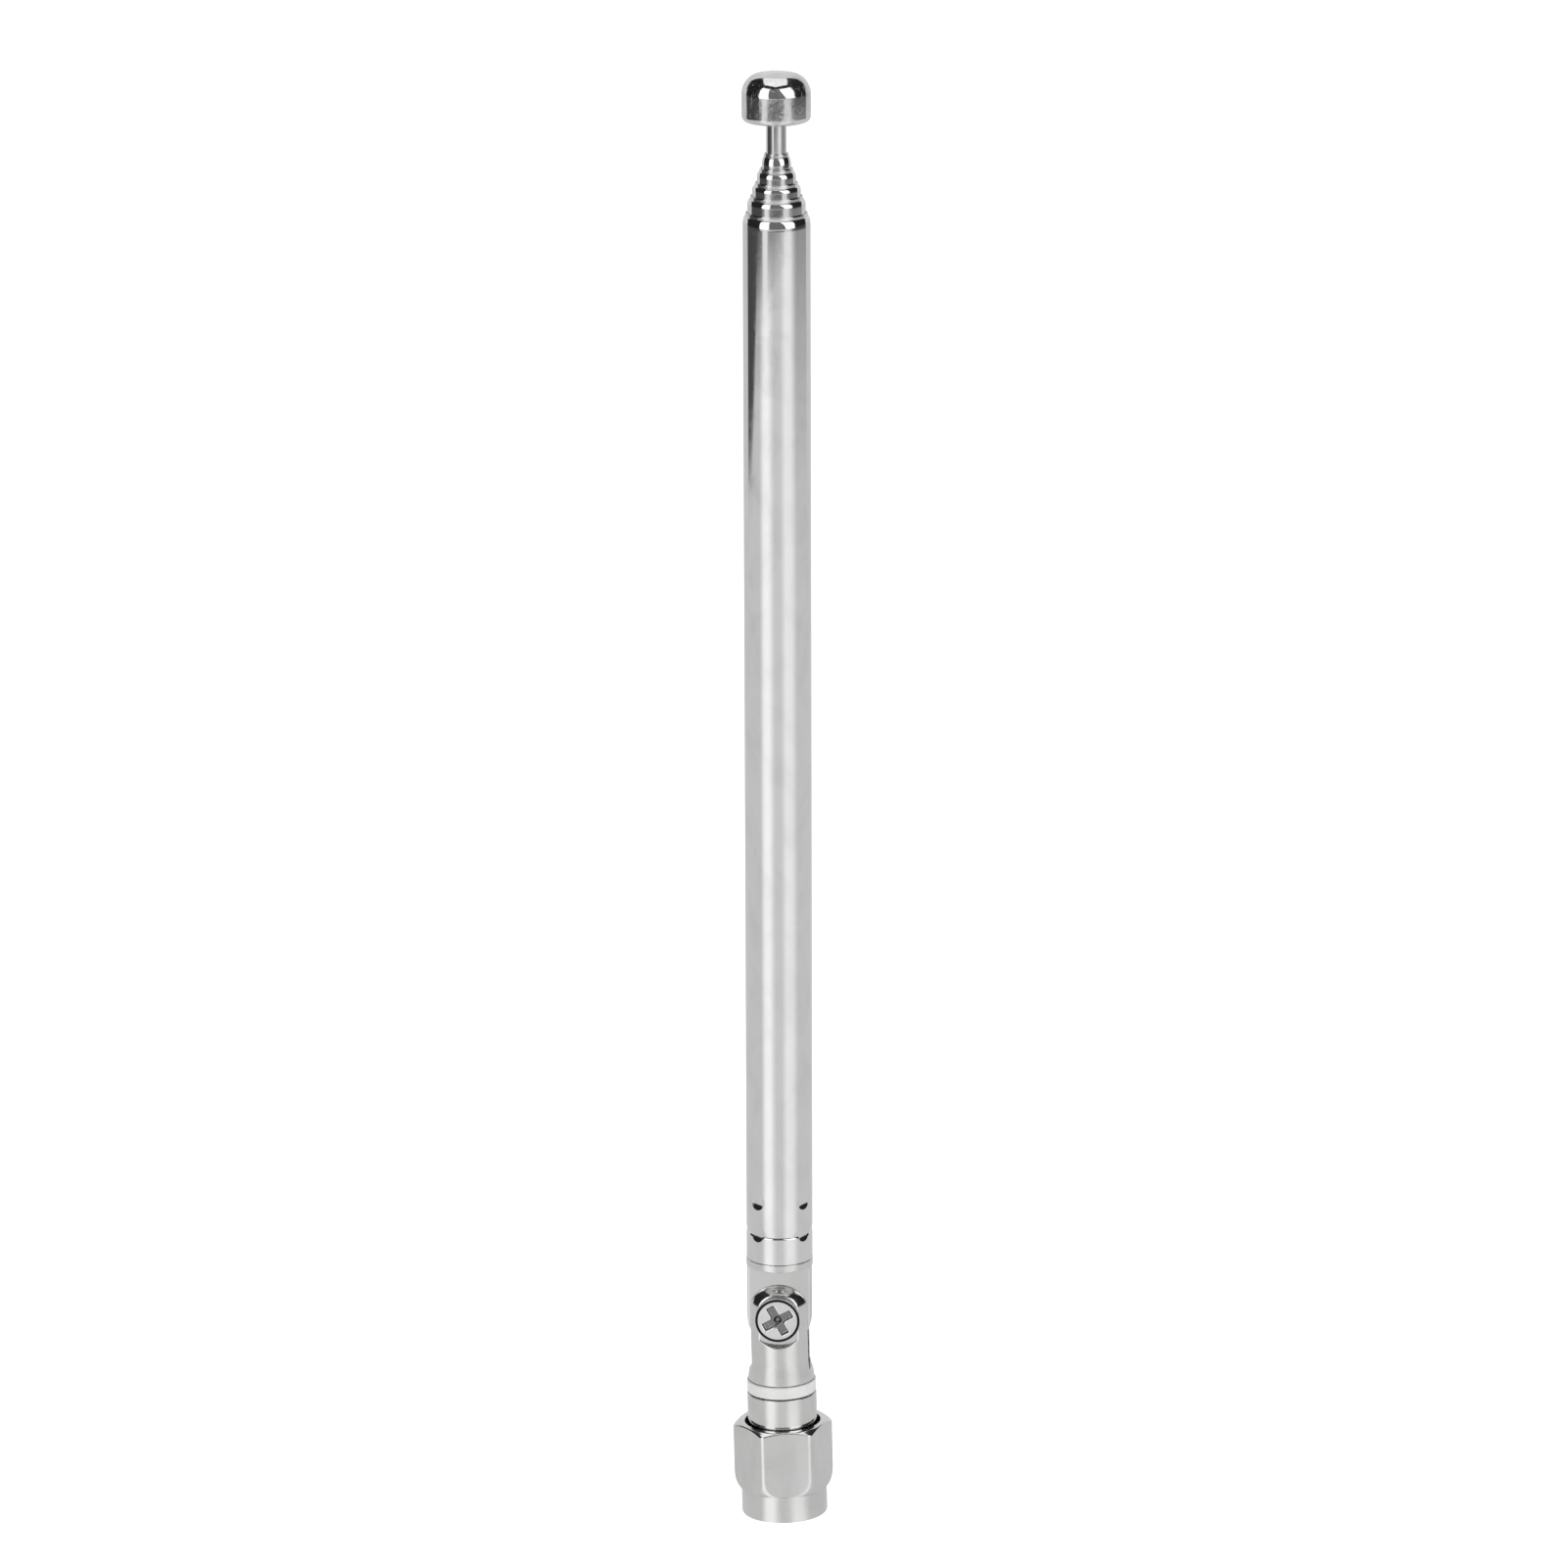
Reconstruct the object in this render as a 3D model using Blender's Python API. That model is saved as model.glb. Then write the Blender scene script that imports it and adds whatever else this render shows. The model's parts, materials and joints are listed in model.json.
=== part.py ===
"""Telescopic whip antenna: nested tubes, a folding elbow and a screw-on coaxial plug.

Frame: the origin is the centre of the plug's mating end, +Z runs up the plug's axis towards
the whip, and the elbow screw lies along Y with its head at -Y. The plug and the fork stand
upright. The whip hangs on an empty at the elbow pivot, tilted by WHIP_LEAN, and its heights
are measured from that pivot.
"""
import math

import bmesh
import bpy
from mathutils import Vector

MM = 0.001
SEGMENTS = 24                      # sides of every turned piece, so that nested tubes stay parallel
STEP_ANGLE = 2.0 * math.pi / SEGMENTS
EDGE_STEPS = 3                     # steps of a rounded edge
RUNNING_GAP = 0.03 * MM            # gap between pieces that fit into each other
CUT_REACH = 5.0 * MM               # how far a cutter goes past the piece that it cuts
SHARP_ANGLE = math.radians(30.0)   # edges steeper than this are shaded sharp

# Coupling nut
NUT_FLATS = 8.0 * MM               # across flats
NUT_CORNERS = 9.12 * MM            # across the rounded corners
NUT_TURN = math.radians(8.9)       # rest angle of the hexagon about Z
NUT_TOP = 8.75 * MM
NUT_SKIRT_RADIUS = 3.9 * MM
NUT_SKIRT_TOP = 2.5 * MM
NUT_FLARE = ((4.34 * MM, 3.25 * MM), (0.5 * NUT_CORNERS, 4.4 * MM))   # rounded foot of the hexagon
NUT_CROWN_RADIUS = 3.95 * MM       # flat ring left by the top chamfer
NUT_CHAMFER = math.radians(30.0)
NUT_THREAD_RADIUS = 2.8 * MM       # minor radius of the 1/4-36 UNS thread
NUT_THREAD_TOP = 5.0 * MM
NUT_MOUTH_RADIUS = 3.2 * MM
NUT_MOUTH_CHAMFER = 0.4 * MM
NUT_BORE_RADIUS = 3.44 * MM
NUT_GROOVE_RADIUS = 3.65 * MM
NUT_GROOVE = (5.85 * MM, 6.65 * MM)
NUT_EDGE = 0.18 * MM

# Plug body, its contacts and its insulators
NECK_RADIUS = 3.16 * MM
NECK_TOP = 11.62 * MM
FERRULE_RADIUS = 2.275 * MM
FERRULE_END = 2.6 * MM             # the plug's electrical reference plane
FLANGE_BOTTOM = 5.2 * MM
RING_GROOVE_RADIUS = 2.8 * MM
RING_GROOVE = (5.95 * MM, 6.45 * MM)
DIELECTRIC_RADIUS = 2.02 * MM
DIELECTRIC_TOP = 8.2 * MM
RETAINER_RADIUS = 3.55 * MM        # split ring that keeps the nut on
RETAINER_OPENING = 3               # its open sides
GASKET_RADIUS = 2.72 * MM
GASKET_HEIGHT = 0.65 * MM
BUSH_SEAT = 8.4 * MM
BUSH_RADIUS = 2.2 * MM
BUSH_BORE = 1.2 * MM
BUSH_SHOULDER = 9.65 * MM
PIN_RADIUS = 0.455 * MM
PIN_TIP = 0.45 * MM
PIN_TIP_RADIUS = 0.25 * MM
PIN_TIP_CROWN = 0.05 * MM
PIN_TAPER = 0.55 * MM              # from the tip to the full radius
PIN_HEAD_RADIUS = 0.85 * MM
PIN_HEAD = (7.05 * MM, 7.65 * MM)
SPRING_TURNS = 3.5
SPRING_STEPS = 35
SPRING_SIDES = 6
SPRING_WIRE = 0.1 * MM             # wire radius
SPRING_COIL = 0.55 * MM            # radius of the coil's centre line
INSULATOR_RADIUS = 3.14 * MM
INSULATOR = (11.65 * MM, 12.78 * MM)

# Fork
FORK_BOTTOM = 12.81 * MM
FORK_FOOT_RADIUS = 3.08 * MM
FORK_FLARE_TOP = 14.6 * MM
FORK_RADIUS = 2.83 * MM
PIVOT_HEIGHT = 19.15 * MM
DOME_START = PIVOT_HEIGHT + 0.75 * MM
DOME_RISE = 2.25 * MM
DOME_STEPS = 6
SLOT_WIDTH = 2.1 * MM
SLOT_FLOOR = 13.8 * MM
SPOTFACE_RADIUS = 2.65 * MM
SPOTFACE_DEPTH = 2.2 * MM          # distance of the flat seat from the fork's axis
STEM_RADIUS = 1.1 * MM
STEM_END = 8.75 * MM
CLIP_GROOVE_RADIUS = 0.8 * MM
CLIP = (9.1 * MM, 9.5 * MM)
CLIP_RADIUS = 1.65 * MM
CLIP_OPENING = 6                   # its open sides
CLIP_CLEARANCE = 0.1 * MM

# Elbow screw and its lock washer
SCREW_RADIUS = 0.95 * MM
SCREW_CLEARANCE_RADIUS = 1.06 * MM
SCREW_THREAD_RADIUS = SCREW_RADIUS + RUNNING_GAP
SCREW_END = 2.4 * MM               # tip of the shank, beyond the fork's axis
SCREW_POINT = 0.2 * MM             # chamfer of the tip
HEAD_RADIUS = 2.08 * MM
HEAD_SEAT = 2.48 * MM              # underside of the head, from the fork's axis
HEAD_HEIGHT = 0.35 * MM
HEAD_EDGE = 0.15 * MM
RECESS_SPAN = 2.9 * MM
RECESS_ARM = 0.72 * MM
RECESS_DEPTH = 0.3 * MM
RECESS_TURN = math.radians(25.0)
WASHER_RADIUS = 2.0 * MM
WASHER_CLEARANCE = 0.1 * MM
WASHER_SPLIT = math.radians(278.0)

# Whip: knuckle and outer tube, heights from the pivot
WHIP_LEAN = math.radians(1.25)     # rest angle of the whip about +Y
TONGUE_RADIUS = 2.97 * MM
TONGUE_END_RADIUS = 3.0 * MM
TONGUE_BLANK = 3.5 * MM            # turned length below the pivot, before the end is rounded
TONGUE_THICKNESS = 2.0 * MM
COLLAR_BOTTOM = 4.59 * MM
COLLAR_TOP = 5.31 * MM
COLLAR_EDGE = 0.12 * MM
SHANK_TOP = 11.7 * MM
CRIMP_HEIGHT = 7.94 * MM
CRIMP_DEPTH = 0.1 * MM
CRIMP_HALF_WIDTH = 0.35 * MM
TUBE_BOTTOM = COLLAR_TOP + RUNNING_GAP

# Telescoping sections: outer diameter, top of the straight wall and top of the rolled lip
SECTIONS = (
    ("outer_tube", 6.00 * MM, 100.55 * MM, 101.90 * MM),
    ("section_2_tube", 5.15 * MM, 102.54 * MM, 103.40 * MM),
    ("section_3_tube", 4.30 * MM, 103.86 * MM, 104.60 * MM),
    ("section_4_tube", 3.45 * MM, 105.00 * MM, 105.85 * MM),
    ("section_5_tube", 2.60 * MM, 105.95 * MM, 107.20 * MM),
)
TUBE_WALL = 0.2 * MM
SLIDING_GAP = 0.04 * MM
LIP_WIDTH = 0.16 * MM
LIP_HEIGHT = 0.3 * MM
LIP_EDGE = 0.1 * MM
FOOT_HEIGHT = 12.0 * MM            # lower end of every inner section
BEAD_HEIGHT = 0.5 * MM             # rolled beads that hold the friction sleeve
SLEEVE_LENGTH = 5.4 * MM
SLEEVE_GAP = 2                     # open sides of a friction sleeve

# Tip rod and knob
ROD_RADIUS = 0.9 * MM
ROD_TENON_RADIUS = 0.7 * MM
ROD_TOP = 112.5 * MM
KNOB_BOTTOM = 110.0 * MM
KNOB_TOP = 114.32 * MM
KNOB_RADIUS = 3.05 * MM
KNOB_EDGE = 0.45 * MM
KNOB_SHOULDER = 1.9 * MM
KNOB_SHOULDER_WIDTH = 1.55 * MM
KNOB_SHOULDER_STEPS = 5
KNOB_CROWN = 0.12 * MM


def clear_scene():
    for item in list(bpy.data.objects):
        bpy.data.objects.remove(item, do_unlink=True)


def finish(name, color, metallic, roughness):
    """Return a Principled material made for one piece."""
    material = bpy.data.materials.new(name)
    material.use_nodes = True
    shader = material.node_tree.nodes["Principled BSDF"]
    shader.inputs["Base Color"].default_value = (*color, 1.0)
    shader.inputs["Metallic"].default_value = metallic
    shader.inputs["Roughness"].default_value = roughness
    return material


CHROME = ((0.80, 0.80, 0.81), 1.0, 0.06)
NICKEL = ((0.74, 0.73, 0.71), 1.0, 0.14)
STEEL = ((0.66, 0.66, 0.67), 1.0, 0.25)
BRONZE = ((0.72, 0.50, 0.27), 1.0, 0.30)
GOLD = ((0.95, 0.73, 0.32), 1.0, 0.18)
WHITE_PLASTIC = ((0.86, 0.86, 0.84), 0.0, 0.45)
FLUOROPOLYMER = ((0.93, 0.93, 0.91), 0.0, 0.40)
RUBBER = ((0.62, 0.10, 0.06), 0.0, 0.60)


def empty(name, location, lean=0.0):
    item = bpy.data.objects.new(name, None)
    item.location = location
    item.rotation_euler = (0.0, lean, 0.0)
    item.empty_display_size = 2.0 * MM
    bpy.context.scene.collection.objects.link(item)
    return item


def piece(name, mesh, look, parent=None, rotation=(0.0, 0.0, 0.0)):
    """Turn a bmesh into a named object with its own material."""
    bmesh.ops.recalc_face_normals(mesh, faces=mesh.faces)
    data = bpy.data.meshes.new(name)
    mesh.to_mesh(data)
    mesh.free()
    data.shade_smooth()
    data.set_sharp_from_angle(angle=SHARP_ANGLE)
    item = bpy.data.objects.new(name, data)
    item.rotation_euler = rotation
    item.parent = parent
    if look:
        data.materials.append(finish(name, *look))
    else:
        item.hide_render = True
        item.display_type = "WIRE"
    bpy.context.scene.collection.objects.link(item)
    return item


def combine(item, tool, operation):
    """Cut, keep or join with another object by an exact Boolean modifier."""
    modifier = item.modifiers.new(tool.name, "BOOLEAN")
    modifier.operation = operation
    modifier.solver = "EXACT"
    modifier.object = tool


def turned_mesh(outline, turn=0.0, open_sides=0):
    """Revolve an outline of (radius, height) points about Z.

    An outline that starts and ends on the axis gives a solid, any other is closed on itself.
    open_sides leaves that many sides out and caps the two ends of what remains.
    """
    mesh = bmesh.new()
    columns = SEGMENTS - open_sides + 1 if open_sides else SEGMENTS
    angles = [turn + STEP_ANGLE * (k + 0.5 * open_sides) for k in range(columns)]
    rings = []
    for radius, height in outline:
        if radius == 0.0:
            rings.append([mesh.verts.new((0.0, 0.0, height))] * columns)
        else:
            rings.append([
                mesh.verts.new((radius * math.cos(a), radius * math.sin(a), height))
                for a in angles
            ])
    pairs = list(zip(rings, rings[1:]))
    on_axis = outline[0][0] == 0.0 and outline[-1][0] == 0.0
    if not on_axis:
        pairs.append((rings[-1], rings[0]))
    sides = columns - 1 if open_sides else columns
    for lower, upper in pairs:
        for k in range(sides):
            following = (k + 1) % columns
            corners = [lower[k], lower[following], upper[following], upper[k]]
            distinct = list(dict.fromkeys(corners))
            mesh.faces.new(distinct)
    if open_sides:
        mesh.faces.new([ring[0] for ring in rings])
        mesh.faces.new([ring[-1] for ring in rings])
    return mesh


def prism_mesh(outline, low, high):
    """Extrude an XZ outline along Y, from low to high."""
    mesh = bmesh.new()
    near = [mesh.verts.new((x, low, z)) for x, z in outline]
    far = [mesh.verts.new((x, high, z)) for x, z in outline]
    mesh.faces.new(near)
    mesh.faces.new(list(reversed(far)))
    for k in range(len(outline)):
        following = (k + 1) % len(outline)
        mesh.faces.new([near[following], near[k], far[k], far[following]])
    return mesh


def ring_outline(inner, outer, low, high):
    return [(inner, low), (outer, low), (outer, high), (inner, high)]


def arc(center, radii, start, end, steps):
    """Points of an elliptical arc, both ends included, angles in degrees."""
    points = []
    for k in range(steps + 1):
        angle = math.radians(start + (end - start) * k / steps)
        points.append((center[0] + radii[0] * math.cos(angle), center[1] + radii[1] * math.sin(angle)))
    return points


# ---------------------------------------------------------------- plug

def make_coupling_nut():
    corner = 0.5 * NUT_CORNERS
    chamfer_drop = (corner - NUT_CROWN_RADIUS) * math.tan(NUT_CHAMFER)
    groove_low, groove_high = NUT_GROOVE
    outline = [
        (NUT_SKIRT_RADIUS - NUT_EDGE, 0.0),
        (NUT_SKIRT_RADIUS, NUT_EDGE),
        (NUT_SKIRT_RADIUS, NUT_SKIRT_TOP),
        *NUT_FLARE,
        (corner, NUT_TOP - chamfer_drop),
        (NUT_CROWN_RADIUS, NUT_TOP),
        (NUT_BORE_RADIUS, NUT_TOP),
        (NUT_BORE_RADIUS, groove_high),
        (NUT_GROOVE_RADIUS, groove_high),
        (NUT_GROOVE_RADIUS, groove_low),
        (NUT_BORE_RADIUS, groove_low),
        (NUT_BORE_RADIUS, NUT_THREAD_TOP),
        (NUT_THREAD_RADIUS, NUT_THREAD_TOP),
        (NUT_THREAD_RADIUS, NUT_MOUTH_CHAMFER),
        (NUT_MOUTH_RADIUS, 0.0),
    ]
    first_corner = NUT_TURN + math.radians(-60.0)
    nut = piece("coupling_nut", turned_mesh(outline, turn=first_corner), NICKEL)
    across = NUT_FLATS / math.sqrt(3.0)
    hexagon = bmesh.new()
    for height in (-CUT_REACH, NUT_TOP + CUT_REACH):
        corners = []
        for k in range(6):
            angle = first_corner + math.radians(60.0 * k)
            corners.append(hexagon.verts.new((across * math.cos(angle), across * math.sin(angle), height)))
        hexagon.faces.new(corners)
    bmesh.ops.bridge_loops(hexagon, edges=hexagon.edges[:])
    combine(nut, piece("hexagon_tool", hexagon, None), "INTERSECT")


def make_connector_body():
    groove_low, groove_high = RING_GROOVE
    bore = DIELECTRIC_RADIUS + RUNNING_GAP
    outline = [
        (bore, FERRULE_END),
        (FERRULE_RADIUS, FERRULE_END),
        (FERRULE_RADIUS, FLANGE_BOTTOM),
        (NECK_RADIUS, FLANGE_BOTTOM),
        (NECK_RADIUS, groove_low),
        (RING_GROOVE_RADIUS, groove_low),
        (RING_GROOVE_RADIUS, groove_high),
        (NECK_RADIUS, groove_high),
        (NECK_RADIUS, NECK_TOP),
        (BUSH_RADIUS + RUNNING_GAP, NECK_TOP),
        (BUSH_RADIUS + RUNNING_GAP, BUSH_SEAT),
        (bore, BUSH_SEAT),
    ]
    piece("connector_body", turned_mesh(outline), NICKEL)


def make_plug_inside():
    groove_low, groove_high = RING_GROOVE
    ring = ring_outline(RING_GROOVE_RADIUS + RUNNING_GAP, RETAINER_RADIUS,
                        groove_low + RUNNING_GAP, groove_high - RUNNING_GAP)
    piece("retaining_ring", turned_mesh(ring, open_sides=RETAINER_OPENING), STEEL)

    gasket = ring_outline(FERRULE_RADIUS + RUNNING_GAP, GASKET_RADIUS,
                          FLANGE_BOTTOM - GASKET_HEIGHT, FLANGE_BOTTOM - RUNNING_GAP)
    piece("gasket", turned_mesh(gasket), RUBBER)

    head_low, head_high = PIN_HEAD
    head_hole = PIN_HEAD_RADIUS + RUNNING_GAP
    dielectric = [
        (PIN_RADIUS + RUNNING_GAP, FERRULE_END),
        (DIELECTRIC_RADIUS, FERRULE_END),
        (DIELECTRIC_RADIUS, DIELECTRIC_TOP),
        (head_hole, DIELECTRIC_TOP),
        (head_hole, head_low - RUNNING_GAP),
        (PIN_RADIUS + RUNNING_GAP, head_low - RUNNING_GAP),
    ]
    piece("dielectric", turned_mesh(dielectric), FLUOROPOLYMER)

    pin = [
        (0.0, PIN_TIP),
        (PIN_TIP_RADIUS, PIN_TIP + PIN_TIP_CROWN),
        (PIN_RADIUS, PIN_TIP + PIN_TAPER),
        (PIN_RADIUS, head_low),
        (PIN_HEAD_RADIUS, head_low),
        (PIN_HEAD_RADIUS, head_high),
        (0.0, head_high),
    ]
    piece("centre_pin", turned_mesh(pin), GOLD)


def make_contact_spring():
    """Small coil that carries the signal from the pin's head to the turning stem."""
    low = PIN_HEAD[1] + SPRING_WIRE + RUNNING_GAP
    high = STEM_END - SPRING_WIRE - RUNNING_GAP
    mesh = bmesh.new()
    rings = []
    for k in range(SPRING_STEPS + 1):
        share = k / SPRING_STEPS
        angle = 2.0 * math.pi * SPRING_TURNS * share
        radial = Vector((math.cos(angle), math.sin(angle), 0.0))
        middle = radial * SPRING_COIL + Vector((0.0, 0.0, low + (high - low) * share))
        ring = []
        for side in range(SPRING_SIDES):
            around = 2.0 * math.pi * side / SPRING_SIDES
            offset = radial * math.cos(around) + Vector((0.0, 0.0, math.sin(around)))
            ring.append(mesh.verts.new(middle + offset * SPRING_WIRE))
        rings.append(ring)
    for before, after in zip(rings, rings[1:]):
        for side in range(SPRING_SIDES):
            following = (side + 1) % SPRING_SIDES
            mesh.faces.new([before[side], before[following], after[following], after[side]])
    mesh.faces.new(rings[0])
    mesh.faces.new(list(reversed(rings[-1])))
    piece("contact_spring", mesh, BRONZE)


def make_insulator_ring():
    low, high = INSULATOR
    clip_space = CLIP_RADIUS + CLIP_CLEARANCE
    outline = [
        (clip_space, BUSH_SEAT + RUNNING_GAP),
        (BUSH_RADIUS, BUSH_SEAT + RUNNING_GAP),
        (BUSH_RADIUS, low),
        (INSULATOR_RADIUS, low),
        (INSULATOR_RADIUS, high),
        (BUSH_BORE, high),
        (BUSH_BORE, BUSH_SHOULDER),
        (clip_space, BUSH_SHOULDER),
    ]
    piece("insulator_ring", turned_mesh(outline), WHITE_PLASTIC)


# ---------------------------------------------------------------- fork

def make_fork(swivel):
    clip_low, clip_high = CLIP
    outline = [
        (0.0, STEM_END),
        (STEM_RADIUS, STEM_END),
        (STEM_RADIUS, clip_low),
        (CLIP_GROOVE_RADIUS, clip_low),
        (CLIP_GROOVE_RADIUS, clip_high),
        (STEM_RADIUS, clip_high),
        (STEM_RADIUS, FORK_BOTTOM),
        (FORK_FOOT_RADIUS, FORK_BOTTOM),
        (FORK_RADIUS, FORK_FLARE_TOP),
    ]
    outline += arc((0.0, DOME_START), (FORK_RADIUS, DOME_RISE), 0.0, 90.0, DOME_STEPS)[:-1]
    outline.append((0.0, DOME_START + DOME_RISE))
    fork = piece("elbow_fork", turned_mesh(outline), NICKEL, parent=swivel)

    half = 0.5 * SLOT_WIDTH
    slot_top = PIVOT_HEIGHT + CUT_REACH
    slot = [(-CUT_REACH, SLOT_FLOOR), (CUT_REACH, SLOT_FLOOR), (CUT_REACH, slot_top), (-CUT_REACH, slot_top)]
    combine(fork, piece("fork_slot_tool", prism_mesh(slot, -half, half), None, swivel), "DIFFERENCE")
    for name, radius, low, high in (
        ("spotface_tool", SPOTFACE_RADIUS, SPOTFACE_DEPTH, CUT_REACH),
        ("clearance_hole_tool", SCREW_CLEARANCE_RADIUS, 0.0, CUT_REACH),
        ("thread_hole_tool", SCREW_THREAD_RADIUS, -CUT_REACH, 0.0),
    ):
        tool = pivot_cylinder(name, radius, low, high, swivel, PIVOT_HEIGHT)
        combine(fork, tool, "DIFFERENCE")

    clip = ring_outline(CLIP_GROOVE_RADIUS + RUNNING_GAP, CLIP_RADIUS,
                        clip_low + RUNNING_GAP, clip_high - RUNNING_GAP)
    piece("stem_clip", turned_mesh(clip, open_sides=CLIP_OPENING), STEEL, parent=swivel)


def pivot_cylinder(name, radius, low, high, parent, height):
    """Cutting cylinder along the screw's axis, between two distances in front of the axis."""
    mesh = turned_mesh([(0.0, low), (radius, low), (radius, high), (0.0, high)])
    tool = piece(name, mesh, None, parent, rotation=(math.radians(90.0), 0.0, 0.0))
    tool.location = (0.0, 0.0, height)
    return tool


def make_screw(swivel):
    face = HEAD_SEAT + HEAD_HEIGHT
    outline = [
        (0.0, -SCREW_END),
        (SCREW_RADIUS - SCREW_POINT, -SCREW_END),
        (SCREW_RADIUS, SCREW_POINT - SCREW_END),
        (SCREW_RADIUS, HEAD_SEAT),
        (HEAD_RADIUS, HEAD_SEAT),
    ]
    outline += arc((HEAD_RADIUS - HEAD_EDGE, face - HEAD_EDGE), (HEAD_EDGE, HEAD_EDGE), 0.0, 90.0, EDGE_STEPS)
    outline.append((0.0, face))
    upright = (math.radians(90.0), 0.0, 0.0)
    screw = piece("pivot_screw", turned_mesh(outline), STEEL, swivel, upright)
    screw.location = (0.0, 0.0, PIVOT_HEIGHT)

    arm, reach = 0.5 * RECESS_ARM, 0.5 * RECESS_SPAN
    quarter = [(reach, -arm), (reach, arm), (arm, arm)]
    cross = []
    for k in range(4):
        turn = math.radians(90.0 * k) + RECESS_TURN
        for x, z in quarter:
            cross.append((x * math.cos(turn) - z * math.sin(turn), x * math.sin(turn) + z * math.cos(turn)))
    recess = piece("recess_tool", prism_mesh(cross, -face - CUT_REACH, RECESS_DEPTH - face), None, swivel)
    recess.location = (0.0, 0.0, PIVOT_HEIGHT)
    combine(screw, recess, "DIFFERENCE")

    washer = ring_outline(SCREW_RADIUS + WASHER_CLEARANCE, WASHER_RADIUS,
                          SPOTFACE_DEPTH + RUNNING_GAP, HEAD_SEAT - RUNNING_GAP)
    lock = piece("lock_washer", turned_mesh(washer, turn=WASHER_SPLIT, open_sides=1), STEEL, swivel, upright)
    lock.location = (0.0, 0.0, PIVOT_HEIGHT)


# ---------------------------------------------------------------- whip

def make_knuckle(elbow):
    shank = 0.5 * SECTIONS[0][1] - TUBE_WALL - RUNNING_GAP
    crimped = shank - CRIMP_DEPTH
    collar = 0.5 * SECTIONS[0][1]
    outline = [
        (0.0, -TONGUE_BLANK),
        (TONGUE_RADIUS, -TONGUE_BLANK),
        (TONGUE_RADIUS, COLLAR_BOTTOM - COLLAR_EDGE),
        (collar - COLLAR_EDGE, COLLAR_BOTTOM),
        (collar, COLLAR_BOTTOM + COLLAR_EDGE),
        (collar, COLLAR_TOP),
        (shank, COLLAR_TOP),
        (shank, CRIMP_HEIGHT - CRIMP_HALF_WIDTH),
        (crimped, CRIMP_HEIGHT),
        (shank, CRIMP_HEIGHT + CRIMP_HALF_WIDTH),
        (shank, SHANK_TOP),
        (0.0, SHANK_TOP),
    ]
    knuckle = piece("elbow_knuckle", turned_mesh(outline), NICKEL, parent=elbow)

    half = 0.5 * TONGUE_THICKNESS
    side = [(-CUT_REACH, -CUT_REACH), (CUT_REACH, -CUT_REACH), (CUT_REACH, COLLAR_BOTTOM),
            (-CUT_REACH, COLLAR_BOTTOM)]
    for name, low, high in (("tongue_front_tool", -CUT_REACH, -half), ("tongue_back_tool", half, CUT_REACH)):
        combine(knuckle, piece(name, prism_mesh(side, low, high), None, elbow), "DIFFERENCE")
    below = arc((0.0, 0.0), (TONGUE_END_RADIUS, TONGUE_END_RADIUS), 180.0, 360.0, SEGMENTS // 2)
    below += [(CUT_REACH, 0.0), (CUT_REACH, -CUT_REACH), (-CUT_REACH, -CUT_REACH), (-CUT_REACH, 0.0)]
    end_tool = piece("tongue_end_tool", prism_mesh(below, -CUT_REACH, CUT_REACH), None, elbow)
    combine(knuckle, end_tool, "DIFFERENCE")
    hole = pivot_cylinder("tongue_hole_tool", SCREW_CLEARANCE_RADIUS, -CUT_REACH, CUT_REACH, elbow, 0.0)
    combine(knuckle, hole, "DIFFERENCE")


def bore_of(diameter):
    """Inner radius of a section's tube."""
    return 0.5 * diameter - TUBE_WALL


def lip_outline(diameter, wall_top, lip_top, inside):
    """Tapered shoulder, rolled lip and inner shoulder of a tube, from outside to inside."""
    radius = 0.5 * diameter
    hole = inside + SLIDING_GAP
    lip = hole + LIP_WIDTH
    neck = lip_top - LIP_HEIGHT
    return [
        (radius, wall_top),
        (lip, neck),
        (lip, lip_top - LIP_EDGE),
        (lip - LIP_EDGE, lip_top),
        (hole, lip_top - 0.5 * LIP_EDGE),
        (hole, neck - LIP_EDGE),
        (bore_of(diameter), wall_top),
    ]


def make_outer_tube(elbow):
    name, diameter, wall_top, lip_top = SECTIONS[0]
    radius = 0.5 * diameter
    low, high = CRIMP_HEIGHT - CRIMP_HALF_WIDTH, CRIMP_HEIGHT + CRIMP_HALF_WIDTH
    bore = bore_of(diameter)
    outline = [
        (radius, TUBE_BOTTOM),
        (radius, low),
        (radius - CRIMP_DEPTH, CRIMP_HEIGHT),
        (radius, high),
    ]
    outline += lip_outline(diameter, wall_top, lip_top, 0.5 * SECTIONS[1][1])
    outline += [
        (bore, high),
        (bore - CRIMP_DEPTH, CRIMP_HEIGHT),
        (bore, low),
        (bore, TUBE_BOTTOM),
    ]
    piece(name, turned_mesh(outline), CHROME, parent=elbow)


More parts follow.
